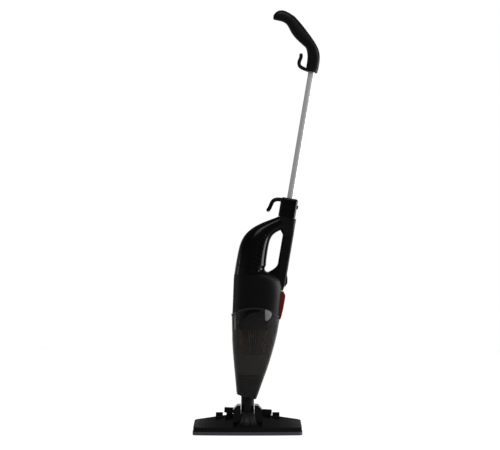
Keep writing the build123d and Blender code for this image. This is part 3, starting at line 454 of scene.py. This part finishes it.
def clear_plastic(name, colour):
    """Smoky clear plastic, tinted by what passes through it."""
    material, tree, shader = principled(name)
    shader.inputs["Base Color"].default_value = (*colour, 1)
    shader.inputs["Roughness"].default_value = 0.0
    shader.inputs["IOR"].default_value = CLEAR_IOR
    shader.inputs["Specular IOR Level"].default_value = CLEAR_GLOSS
    shader.inputs["Transmission Weight"].default_value = 1
    return material


def set_ramp(ramp, *stops):
    """Sets the two stops of a colour ramp, each a position and a colour."""
    for element, (position, colour) in zip(ramp.color_ramp.elements, stops):
        element.position = position
        element.color = (*colour, 1)


def filter_paper(name, colour):
    """Pleated paper: its own tan on the ridges, painted shade in the folds, and stained brown and olive
    in streaks.
    """
    material, tree, shader = principled(name)
    low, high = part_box("filter")
    centred = add_node(tree, "ShaderNodeVectorMath", operation="SUBTRACT")
    centred.inputs[1].default_value = ((low.x + high.x) / 2, (low.y + high.y) / 2, 0)
    tree.links.new(object_place(tree), centred.inputs[0])
    split = add_node(tree, "ShaderNodeSeparateXYZ")
    tree.links.new(centred.outputs["Vector"], split.inputs[0])
    angle = math_node(tree, "ARCTAN2", split.outputs["Y"], split.outputs["X"])
    wave = math_node(tree, "COSINE", math_node(tree, "MULTIPLY", angle, FILTER_PLEATS))
    ridge = faded(tree, wave, *RIDGE_BAND, 0.0, 1.0)
    streak = add_node(tree, "ShaderNodeTexNoise", noise_dimensions="1D")
    streak.inputs["Scale"].default_value = 5.0
    tree.links.new(angle, streak.inputs["W"])
    stain = add_node(tree, "ShaderNodeValToRGB")
    stained = tuple(c * share for c, share in zip(colour, STAIN))
    set_ramp(stain, (0.38, stained), (0.62, colour))
    tree.links.new(streak.outputs["Fac"], stain.inputs["Fac"])
    # painted shade in the folds, over the stained paper
    pleat_shade_and_stain = add_node(tree, "ShaderNodeMix", data_type="RGBA")
    pleat_shade_and_stain.inputs["A"].default_value = (*FOLD_SHADE, 1)
    tree.links.new(ridge, pleat_shade_and_stain.inputs["Factor"])
    tree.links.new(stain.outputs["Color"], pleat_shade_and_stain.inputs["B"])
    tree.links.new(pleat_shade_and_stain.outputs["Result"], shader.inputs["Base Color"])
    shader.inputs["Roughness"].default_value = 0.9
    bump_grain(tree, shader, PAPER_GRAIN, PAPER_GRAIN_SCALE, PAPER_GRAIN_DEPTH)
    return material


def exhaust_foam(name):
    """Open-celled charcoal foam: lighter walls, with painted shade in the pores between them."""
    material, tree, shader = principled(name)
    cells = add_node(tree, "ShaderNodeTexVoronoi", feature="DISTANCE_TO_EDGE")
    cells.inputs["Scale"].default_value = FOAM_CELLS
    tree.links.new(object_place(tree), cells.inputs["Vector"])
    walls = add_node(tree, "ShaderNodeValToRGB")
    # painted shade: the pores are darker than the walls
    set_ramp(walls, (0.05, FOAM_WALL), (0.35, FOAM_PORE_SHADE))
    tree.links.new(cells.outputs["Distance"], walls.inputs["Fac"])
    tree.links.new(walls.outputs["Color"], shader.inputs["Base Color"])
    shader.inputs["Roughness"].default_value = 0.95
    bump = add_node(tree, "ShaderNodeBump", invert=True)
    bump.inputs["Strength"].default_value = 0.8
    bump.inputs["Distance"].default_value = FOAM_DEPTH
    tree.links.new(cells.outputs["Distance"], bump.inputs["Height"])
    tree.links.new(bump.outputs["Normal"], shader.inputs["Normal"])
    return material


def make_materials(colours):
    """Every finish, by name."""
    casing, trim = colours.casing, colours.trim
    return {
        "housing": housing_finish("Housing Casing", casing),
        "black_gloss": moulded("Gloss Casing", casing, 0.12, 0.22, gloss=CASING_GLOSS, rubbed=0.25),
        "black_satin": moulded("Satin Trim", trim, 0.34, 0.46, grain=0.12, gloss=TRIM_GLOSS, rubbed=0.3),
        "bumper_grey": moulded("Bumper", colours.bumper, 0.5, 0.65, grain=0.3, grain_scale=600.0),
        "soft_rubber": moulded("Soft Rubber", colours.rubber, 0.6, 0.8, grain=0.4, grain_scale=500.0),
        "steel": metal("Plated Steel", colours.steel, 0.3, 0.45),
        "bristle": moulded("Bristle", colours.bristle, 0.5, 0.7),
        "smoky_clear": clear_plastic("Smoky Clear", colours.cup),
        "filter_paper": filter_paper("Filter Paper", colours.paper),
        "latch_red": moulded("Release Red", colours.release, 0.14, 0.24, rubbed=0.2),
        # partly painted highlight: the rim's lighter grey stands in for light caught on its edge
        "rim": moulded("Cup Rim Grey And Painted Highlight", colours.rim, 0.16, 0.26),
        "tube_metal": metal("Wand Metal", colours.tube, 0.20, 0.28, metallic=0.30),
        # painted highlight: a silver plate where the cup's band only reflects light
        "plate": metal("Painted Highlight Plate", colours.highlight_patch, 0.3, 0.36),
        "foam": exhaust_foam("Exhaust Foam"),
    }


# ---- mesh helpers ----


def finish_node(name, material):
    """Gives a CAD node its finish and smooth shading that keeps its edges."""
    node = NODES[name]
    node.data.materials.clear()
    node.data.materials.append(material)
    node.data.shade_smooth()
    node.data.set_sharp_from_angle(angle=NODE_EDGE)


def put(mesh_object, name, finish, body, *nodes):
    """Names a new piece, gives it its finish, lets it ride on a CAD body and stand for CAD nodes."""
    mesh_object.name = name
    mesh_object.data.name = name
    mesh_object.data.materials.append(FINISHES[finish])
    mesh_object.data.shade_smooth()
    mesh_object.data.set_sharp_from_angle(angle=PIECE_EDGE)
    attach(mesh_object, body)
    if nodes:
        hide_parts(*nodes)
    return mesh_object


def new_piece(vertices, faces):
    """A mesh object from plain lists, with its faces turned outwards."""
    mesh = bpy.data.meshes.new("piece")
    mesh.from_pydata([tuple(v) for v in vertices], [], faces)
    skin = bmesh.new()
    skin.from_mesh(mesh)
    bmesh.ops.recalc_face_normals(skin, faces=skin.faces)
    skin.to_mesh(mesh)
    skin.free()
    piece = bpy.data.objects.new("piece", mesh)
    bpy.context.scene.collection.objects.link(piece)
    return piece


def turned(profile, steps, cut=None):
    """Points and faces of a closed profile turned about Z; cut(step, radius) may lower a radius."""
    points, faces = [], []
    for step in range(steps):
        angle = 2 * math.pi * step / steps
        for radius, height in profile:
            r = cut(step, radius) if cut else radius
            points.append((r * math.cos(angle), r * math.sin(angle), height))
    count = len(profile)
    for step in range(steps):
        for i in range(count):
            a, b = step * count + i, step * count + (i + 1) % count
            c, d = ((step + 1) % steps) * count + (i + 1) % count, ((step + 1) % steps) * count + i
            faces.append((a, b, c, d))
    return points, faces


def axis_frame(origin, axis):
    """A matrix that carries local Z onto an axis at a place."""
    return Matrix.Translation(origin) @ Vector(axis).to_track_quat("Z", "Y").to_matrix().to_4x4()


def carved(piece, tool):
    """The piece with the tool cut out of it."""
    cut = piece.modifiers.new("Cut", "BOOLEAN")
    cut.operation = "DIFFERENCE"
    cut.object = tool
    mesh = bpy.data.meshes.new_from_object(piece.evaluated_get(bpy.context.evaluated_depsgraph_get()))
    piece.modifiers.clear()
    piece.data = mesh
    bpy.data.objects.remove(tool)
    return piece


# ---- the finishes and the pieces ----


class VACUUM_OT_finishes(bpy.types.Operator):
    """Make the finishes and put them on the CAD pieces"""

    bl_idname = "vacuum.finishes"
    bl_label = "Finishes"

    def execute(self, context):
        FINISHES.update(make_materials(context.scene.vacuum_colours))
        for part in frame["record"]["subparts"]:
            finish_node(part["node"], FINISHES[part["material_slot"]])
        finish_node("exhaust_foam", FINISHES["foam"])
        # the rim's finish is partly painted highlight
        finish_node("cup_rim", FINISHES["rim"])
        for node in ("housing_near", "housing_far"):
            finish_node(node, FINISHES["housing"])
        return {"FINISHED"}


class VACUUM_OT_tyres(bpy.types.Operator):
    """Make the grooved tyres of both rear wheels"""

    bl_idname = "vacuum.tyres"
    bl_label = "Tyres"

    def execute(self, context):
        sizes = context.scene.vacuum_sizes
        for side in ("left", "right"):
            low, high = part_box(f"wheel_tyre_{side}")
            centre, half = (low + high) / 2, (high.x - low.x) / 2
            outer = (high.z - low.z) / 2
            inner = outer - TYRE_THICKNESS
            profile = [
                (inner, -half),
                (outer - TYRE_SHOULDER, -half),
                (outer - TYRE_CORNER, -half + TYRE_CORNER),
                (outer, -half + TYRE_SHOULDER),
                (outer, half - TYRE_SHOULDER),
                (outer - TYRE_CORNER, half - TYRE_CORNER),
                (outer - TYRE_SHOULDER, half),
                (inner, half),
            ]

            def groove(step, radius):
                deep = step % STEPS_PER_GROOVE == 0 and radius > outer - TREAD_EDGE
                return radius - sizes.tread_depth if deep else radius

            points, faces = turned(profile, sizes.tread_count * STEPS_PER_GROOVE, cut=groove)
            tyre = new_piece(points, faces)
            tyre.matrix_world = axis_frame(centre, (1, 0, 0))
            put(tyre, f"Tyre_{side}", "soft_rubber", f"wheel_{side}", f"wheel_tyre_{side}")
        return {"FINISHED"}


class VACUUM_OT_screws(bpy.types.Operator):
    """Make the cross-head screws of the housing and the grip"""

    bl_idname = "vacuum.screws"
    bl_label = "Screws"

    def execute(self, context):
        length = context.scene.vacuum_sizes.screw_cross
        for name in sorted(n for n in NODES if "_screw_" in n):
            low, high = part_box(name)
            centre = (low + high) / 2
            side = math.copysign(1, centre.y)
            radius = (high.x - low.x) / 2
            face = high.y if side > 0 else low.y
            shank, end = radius * SCREW_SHANK, -(high.y - low.y)
            dome = [(radius * share, -drop) for share, drop in SCREW_DOME]
            under = [(radius, -SCREW_HEAD), (shank, -SCREW_HEAD), (shank, end)]
            profile = [(AXIS_GAP, 0.0), *dome, *under, (AXIS_GAP, end - 0.00001)]
            screw = new_piece(*turned(profile, SCREW_STEPS))
            for turn in (0, 90):
                screw = carved(screw, cross_blade(length, turn))
            screw.matrix_world = axis_frame((centre.x, face, centre.z), (0, side, 0))
            put(screw, name.title(), "steel", BODY_OF[name], name)
        return {"FINISHED"}


def cross_blade(length, turn):
    """One tapered bar of the cross that is cut into a screw head."""
    half, points = CROSS_HALF, []
    for reach, z in ((length / 2, CROSS_TOP), (length / CROSS_TAPER, CROSS_FOOT)):
        points += [(-reach, -half, z), (reach, -half, z), (reach, half, z), (-reach, half, z)]
    faces = [(0, 1, 2, 3), (7, 6, 5, 4), (0, 4, 5, 1), (1, 5, 6, 2), (2, 6, 7, 3), (3, 7, 4, 0)]
    blade = new_piece(points, faces)
    blade.rotation_euler.z = math.radians(turn)
    bpy.context.view_layer.update()
    return blade


class VACUUM_OT_bristles(bpy.types.Operator):
    """Make both rows of bristles as tufts of fine filaments on their bars"""

    bl_idname = "vacuum.bristles"
    bl_label = "Bristles"

    def execute(self, context):
        sizes = context.scene.vacuum_sizes
        for row in ("front", "rear"):
            low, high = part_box(f"bristle_{row}")
            chance = random.Random(row)
            middle, bar_low = (low.y + high.y) / 2, high.z - BAR_HEIGHT
            points, faces = [], []
            bar(points, faces, low, high, bar_low)
            count = int((high.x - low.x - BAR_MARGIN) // sizes.tuft_pitch)
            for i in range(count):
                x = (low.x + high.x) / 2 + (i - (count - 1) / 2) * sizes.tuft_pitch
                for _ in range(sizes.tuft_filaments):
                    angle = chance.uniform(0, 2 * math.pi)
                    reach = TUFT_RADIUS * math.sqrt(chance.random())
                    top = Vector((x + reach * math.cos(angle), middle + reach * math.sin(angle), bar_low))
                    along = chance.uniform(-LEAN_ALONG, LEAN_ALONG)
                    across = chance.uniform(-LEAN_ACROSS, LEAN_ACROSS)
                    tip = Vector((top.x, top.y, low.z + chance.uniform(0, TIP_SCATTER)))
                    filament(points, faces, top, tip + Vector((along, across, 0)))
            put(new_piece(points, faces), f"Bristles_{row}", "bristle", "brush", f"bristle_{row}")
        return {"FINISHED"}


def bar(points, faces, low, high, bar_low):
    """The bar that holds a row of tufts, with its long upper edges chamfered."""
    outline = [
        (low.y, bar_low),
        (low.y, high.z - BAR_EDGE),
        (low.y + BAR_EDGE, high.z),
        (high.y - BAR_EDGE, high.z),
        (high.y, high.z - BAR_EDGE),
        (high.y, bar_low),
    ]
    first = len(points)
    for x in (low.x, high.x):
        points += [(x, y, z) for y, z in outline]
    count = len(outline)
    for i in range(count):
        j = (i + 1) % count
        faces.append((first + i, first + j, first + count + j, first + count + i))
    faces.append(tuple(range(first, first + count)))
    faces.append(tuple(range(first + 2 * count - 1, first + count - 1, -1)))


def filament(points, faces, top, tip):
    """One filament: a thin three-sided prism that tapers to its tip."""
    first = len(points)
    for place, radius in ((top, FILAMENT_RADIUS), (tip, FILAMENT_RADIUS * FILAMENT_TAPER)):
        for k in range(3):
            angle = 2 * math.pi * k / 3
            x, y = radius * math.cos(angle), radius * math.sin(angle)
            points.append((place.x + x, place.y + y, place.z))
    for k in range(3):
        m = (k + 1) % 3
        faces.append((first + k, first + m, first + 3 + m, first + 3 + k))
    faces.append((first + 3, first + 4, first + 5))


class VACUUM_OT_cord_bush(bpy.types.Operator):
    """Make the ribbed, tapering rubber bush where the mains cord enters"""

    bl_idname = "vacuum.cord_bush"
    bl_label = "Cord Bush"

    def execute(self, context):
        ribs = context.scene.vacuum_sizes.bush_ribs
        low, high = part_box("cord_bush")
        length, radius = high.y - low.y, (high.x - low.x) / 2
        stem, bore = length * BUSH_STEM, radius * BUSH_BORE
        profile = [(bore, 0), (radius, 0), (radius, stem - 0.0005), (radius - 0.0005, stem)]
        pitch = (length - stem - 0.001) / ribs
        for i in range(ribs):
            outer = radius * (BUSH_FIRST_RIB - BUSH_RIB_TAPER * (i / ribs))
            z = stem + i * pitch
            profile += [
                (outer - BUSH_RIB_DEPTH, z + 0.0001),
                (outer - BUSH_RIB_DEPTH, z + pitch * 0.35),
                (outer, z + pitch * 0.45),
                (outer, z + pitch),
            ]
        profile += [(radius * 0.62, length - 0.0006), (radius * 0.56, length), (bore, length)]
        bush = new_piece(*turned(profile, BUSH_STEPS))
        bush.matrix_world = axis_frame(((low.x + high.x) / 2, low.y, (low.z + high.z) / 2), (0, 1, 0))
        put(bush, "Ribbed_Bush", "soft_rubber", "housing", "cord_bush")
        return {"FINISHED"}


class VACUUM_OT_highlight_plate(bpy.types.Operator):
    """Make the small silver plate on the cup, under the seam, that paints a highlight there"""

    bl_idname = "vacuum.plate"
    bl_label = "Painted Highlight Plate"

    def execute(self, context):
        thickness = context.scene.vacuum_sizes.highlight_plate_thickness
        skins = [skin_of("cup_shell"), skin_of("cup_rim")]
        outline = smooth_outline(HIGHLIGHT_PLATE_OUTLINE, HIGHLIGHT_PLATE_STEPS)
        middle = sum(outline, Vector((0, 0))) / len(outline)
        rings = HIGHLIGHT_PLATE_RINGS
        flat = [middle + (p - middle) * (r / rings) for r in range(1, rings + 1) for p in outline]
        hits = [front_of(skins, p.x, p.y) for p in flat]
        fit = quadric(flat, hits)
        points, faces = [], []
        count = len(outline)
        for lift in (thickness, 0.0):
            points.append((middle.x, fit(middle) - lift, middle.y))
            for index, p in enumerate(flat):
                edge = HIGHLIGHT_PLATE_BEVEL if lift and index >= count * (rings - 1) else 0.0
                points.append((p.x, fit(p) - lift + edge, p.y))
        layer = 1 + len(flat)
        for base in (0, layer):
            for i in range(count):
                j = (i + 1) % count
                faces.append((base, base + 1 + i, base + 1 + j))
                for r in range(rings - 1):
                    a = base + 1 + r * count
                    faces.append((a + i, a + count + i, a + count + j, a + j))
        rim = 1 + (rings - 1) * count
        for i in range(count):
            j = (i + 1) % count
            faces.append((rim + i, rim + j, layer + rim + j, layer + rim + i))
        # the plate paints a highlight where the cup's glossy band reflects light
        put(new_piece(points, faces), "Cup_Highlight_Plate", "plate", "cup")
        return {"FINISHED"}


class VACUUM_OT_throat(bpy.types.Operator):
    """Make the cover that flares from the neck's foot to the front of the floor head"""

    bl_idname = "vacuum.throat"
    bl_label = "Throat Cover"

    def execute(self, context):
        deck = skin_of("head_cover")
        rows, columns = THROAT_ROWS, THROAT_COLUMNS
        upper, lower = [], []
        for row in range(rows):
            t = row / (rows - 1)
            y = THROAT_BACK + (THROAT_FRONT - THROAT_BACK) * t
            half = THROAT_HALF + THROAT_FLARE * t**THROAT_FLARE_POWER
            floor = deck.ray_cast(Vector((THROAT_PROBE, y, RAY_START)), Vector((0, 0, -1)))[0].z
            rise = THROAT_RISE * (1 - t) ** THROAT_RISE_POWER
            crown = max(rise + THROAT_BODY * (1 - t), THROAT_LEAST)
            # The cross-section goes from a rounded box at the back to an arch at the front
            power = 5.0 - 3.0 * min(1, 1.6 * t)
            for column in range(columns):
                u = 2 * column / (columns - 1) - 1
                bulge = (1 - abs(u) ** power) ** (1 / power)
                ribs = sum(math.exp(-(((u - place) / THROAT_RIB_WIDTH) ** 2)) for place in THROAT_RIBS)
                rib = THROAT_RIB_HEIGHT * ribs * min(1, 4 * t) * min(1, 5 * (1 - t))
                upper.append((half * u, y, floor + THROAT_PROUD + crown * bulge + rib))
                lower.append((half * u, y, floor - THROAT_SUNK))
        points = upper + lower
        count = rows * columns
        faces = []
        for row in range(rows - 1):
            for column in range(columns - 1):
                a = row * columns + column
                faces.append((a, a + 1, a + 1 + columns, a + columns))
                faces.append((count + a, count + a + columns, count + a + 1 + columns, count + a + 1))
        edge = list(range(columns)) + [(r + 1) * columns - 1 for r in range(1, rows)]
        edge += [(rows - 1) * columns + c for c in range(columns - 2, -1, -1)]
        edge += [r * columns for r in range(rows - 2, 0, -1)]
        for a, b in zip(edge, edge[1:] + edge[:1]):
            faces.append((a, b, count + b, count + a))
        put(new_piece(points, faces), "Throat_Cover", "black_satin", "floor_head", "throat_cover")
        return {"FINISHED"}


def skin_of(node):
    """A CAD node's surface, ready for rays."""
    return BVHTree.FromObject(NODES[node], bpy.context.evaluated_depsgraph_get())


def smooth_outline(corners, steps):
    """A closed line through the corners, with steps points to a side, rounded by averaging."""
    line = []
    count = len(corners)
    for i in range(count):
        a, b = Vector(corners[i]), Vector(corners[(i + 1) % count])
        line += [a.lerp(b, k / steps) for k in range(steps)]
    for _ in range(steps):
        line = [(line[i - 1] + line[i] * 2 + line[(i + 1) % len(line)]) / 4 for i in range(len(line))]
    return line


def front_of(skins, x, z):
    """The foremost point of the skins at a place, as its Y."""
    hits = [skin.ray_cast(Vector((x, -RAY_START, z)), Vector((0, 1, 0)))[0] for skin in skins]
    return min(hit.y for hit in hits if hit)


def quadric(places, heights):
    """A smooth curved surface that lies just outside all the heights."""

    def terms(p):
        return [1, p.x, p.y, p.x * p.x, p.x * p.y, p.y * p.y]

    table = np.array([terms(p) for p in places])
    factors = np.linalg.lstsq(table, np.array(heights), rcond=None)[0]
    proud = float(np.max(table @ factors - np.array(heights)))
    return lambda p: float(np.dot(terms(p), factors)) - max(proud, 0.0) - HIGHLIGHT_PLATE_GAP


# ---- the stage ----


class VACUUM_OT_stage(bpy.types.Operator):
    """Make the floor, the white surround, the lights and the camera"""

    bl_idname = "vacuum.stage"
    bl_label = "Stage"

    def execute(self, context):
        make_world()
        make_floor()
        make_lights()
        make_camera(context.scene)
        return {"FINISHED"}


def make_world():
    """A plain surround: white where it is seen, dim to gloss but for low bands behind and at the left.

    Its light comes in stronger through clear plastic, so that what stands in the cup is lit.
    """
    world = bpy.data.worlds.new("Surround")
    bpy.context.scene.world = world
    world.use_nodes = True
    tree = world.node_tree
    tree.nodes.clear()
    path = add_node(tree, "ShaderNodeLightPath")
    straight = math_node(tree, "LESS_THAN", path.outputs["Glossy Depth"], 0.5)
    through = math_node(tree, "MULTIPLY", path.outputs["Is Transmission Ray"], straight)
    seen = math_node(tree, "MAXIMUM", path.outputs["Is Camera Ray"], through)
    place = add_node(tree, "ShaderNodeTexCoord")
    split = add_node(tree, "ShaderNodeSeparateXYZ")
    tree.links.new(place.outputs["Generated"], split.inputs[0])
    height = math_node(tree, "ABSOLUTE", split.outputs["Z"])
    low_band = faded(tree, height, *LOW_BAND, 1.0, 0.0)
    level = faded(tree, height, *LEVEL_BAND, *GLOW_LEVELS)
    behind = faded(tree, split.outputs["Y"], *BEHIND_BAND, 0.0, GLOW_BEHIND)
    left = faded(tree, split.outputs["X"], *LEFT_BAND, GLOW_LEFT, 0.0)
    low = math_node(tree, "MULTIPLY", math_node(tree, "ADD", behind, left), low_band)
    around = math_node(tree, "ADD", low, level)
    mirrored = math_node(tree, "MULTIPLY", around, path.outputs["Is Glossy Ray"])
    scattered = math_node(tree, "MULTIPLY", path.outputs["Is Diffuse Ray"], SCATTERED_LIGHT)
    strength = math_node(tree, "ADD", mirrored, scattered)
    light = add_node(tree, "ShaderNodeBackground")
    tree.links.new(strength, light.inputs["Strength"])
    light.inputs["Color"].default_value = (1, 1, 1, 1)
    white = add_node(tree, "ShaderNodeBackground")
    white.inputs["Color"].default_value = (1, 1, 1, 1)
    scattered_once = math_node(tree, "GREATER_THAN", path.outputs["Diffuse Depth"], 0.5)
    inside = math_node(tree, "MULTIPLY", scattered_once, INSIDE_LIGHT)
    tree.links.new(math_node(tree, "ADD", inside, 1.0), white.inputs["Strength"])
    mix = add_node(tree, "ShaderNodeMixShader")
    out = add_node(tree, "ShaderNodeOutputWorld")
    tree.links.new(seen, mix.inputs["Fac"])
    tree.links.new(light.outputs[0], mix.inputs[1])
    tree.links.new(white.outputs[0], mix.inputs[2])
    tree.links.new(mix.outputs[0], out.inputs["Surface"])


def make_floor():
    """A white floor that keeps a faint shadow near the object and fades into the surround."""
    bpy.ops.mesh.primitive_circle_add(
        vertices=96, radius=FLOOR_RADIUS, fill_type="NGON", location=(0, 0, -FLOOR_DROP)
    )
    floor = bpy.context.active_object
    floor.name = "Floor"
    material = bpy.data.materials.new("Floor White")
    material.use_nodes = True
    tree = material.node_tree
    tree.nodes.clear()
    path = add_node(tree, "ShaderNodeLightPath")
    seen = math_node(tree, "MAXIMUM", path.outputs["Is Camera Ray"], path.outputs["Is Transmission Ray"])
    plain = add_node(tree, "ShaderNodeBsdfDiffuse")
    plain.inputs["Color"].default_value = (FLOOR_GREY, FLOOR_GREY, FLOOR_GREY, 1)
    glow = add_node(tree, "ShaderNodeEmission")
    glow.inputs["Strength"].default_value = FLOOR_GLOW
    shown = add_node(tree, "ShaderNodeAddShader")
    mix = add_node(tree, "ShaderNodeMixShader")
    out = add_node(tree, "ShaderNodeOutputMaterial")
    tree.links.new(plain.outputs[0], shown.inputs[0])
    tree.links.new(glow.outputs[0], shown.inputs[1])
    tree.links.new(seen, mix.inputs["Fac"])
    tree.links.new(plain.outputs[0], mix.inputs[1])
    tree.links.new(shown.outputs[0], mix.inputs[2])
    tree.links.new(mix.outputs[0], out.inputs["Surface"])
    floor.data.materials.append(material)


def area_light(name, place, target, width, height, power):
    """A soft box at a place, turned to a target, that isn't seen itself."""
    data = bpy.data.lights.new(name, "AREA")
    data.shape = "RECTANGLE"
    data.size = width
    data.size_y = height
    data.energy = power
    lamp = bpy.data.objects.new(name, data)
    bpy.context.scene.collection.objects.link(lamp)
    lamp.location = place
    lamp.visible_camera = False
    lamp.visible_transmission = False
    lamp.rotation_euler = (Vector(target) - Vector(place)).to_track_quat("-Z", "Y").to_euler()


def make_lights():
    """A large soft box at the right draws the bright edge strips; weaker ones fill in around it."""
    for lamp in LAMPS:
        area_light(*lamp)


def make_camera(scene):
    """A level camera in front of the object."""
    data = bpy.data.cameras.new("Camera")
    data.sensor_width = CAMERA_SENSOR
    data.lens = CAMERA_LENS
    camera = bpy.data.objects.new("Camera", data)
    scene.collection.objects.link(camera)
    camera.location = CAMERA_PLACE
    camera.rotation_euler = (math.radians(90), 0, 0)
    scene.camera = camera
    scene.view_settings.view_transform = "Standard"


# ---- the add-on ----


class VACUUM_PT_panel(bpy.types.Panel):
    """Lists the sizes, the colours and the operators"""

    bl_label = "Vacuum Cleaner"
    bl_idname = "VACUUM_PT_panel"
    bl_space_type = "VIEW_3D"
    bl_region_type = "UI"
    bl_category = "Vacuum"

    def draw(self, context):
        column = self.layout.column()
        for group in (context.scene.vacuum_sizes, context.scene.vacuum_colours):
            for key in group.__annotations__:
                column.prop(group, key)
        for operator in OPERATORS:
            column.operator(operator.bl_idname)


OPERATORS = (
    VACUUM_OT_finishes,
    VACUUM_OT_tyres,
    VACUUM_OT_screws,
    VACUUM_OT_bristles,
    VACUUM_OT_cord_bush,
    VACUUM_OT_highlight_plate,
    VACUUM_OT_throat,
    VACUUM_OT_stage,
)
CLASSES = (VacuumColours, VacuumSizes, *OPERATORS, VACUUM_PT_panel)


def register():
    """Registers the classes and hangs both groups of settings on the scene."""
    for cls in CLASSES:
        bpy.utils.register_class(cls)
    bpy.types.Scene.vacuum_colours = PointerProperty(type=VacuumColours)
    bpy.types.Scene.vacuum_sizes = PointerProperty(type=VacuumSizes)


def unregister():
    """Takes back what register did."""
    del bpy.types.Scene.vacuum_sizes
    del bpy.types.Scene.vacuum_colours
    for cls in reversed(CLASSES):
        bpy.utils.unregister_class(cls)


def main():
    """Makes the whole object and its stage."""
    register()
    bpy.ops.vacuum.finishes()
    bpy.ops.vacuum.tyres()
    bpy.ops.vacuum.screws()
    bpy.ops.vacuum.bristles()
    bpy.ops.vacuum.cord_bush()
    bpy.ops.vacuum.plate()
    bpy.ops.vacuum.throat()
    bpy.ops.vacuum.stage()


if __name__ == "__main__":
    main()
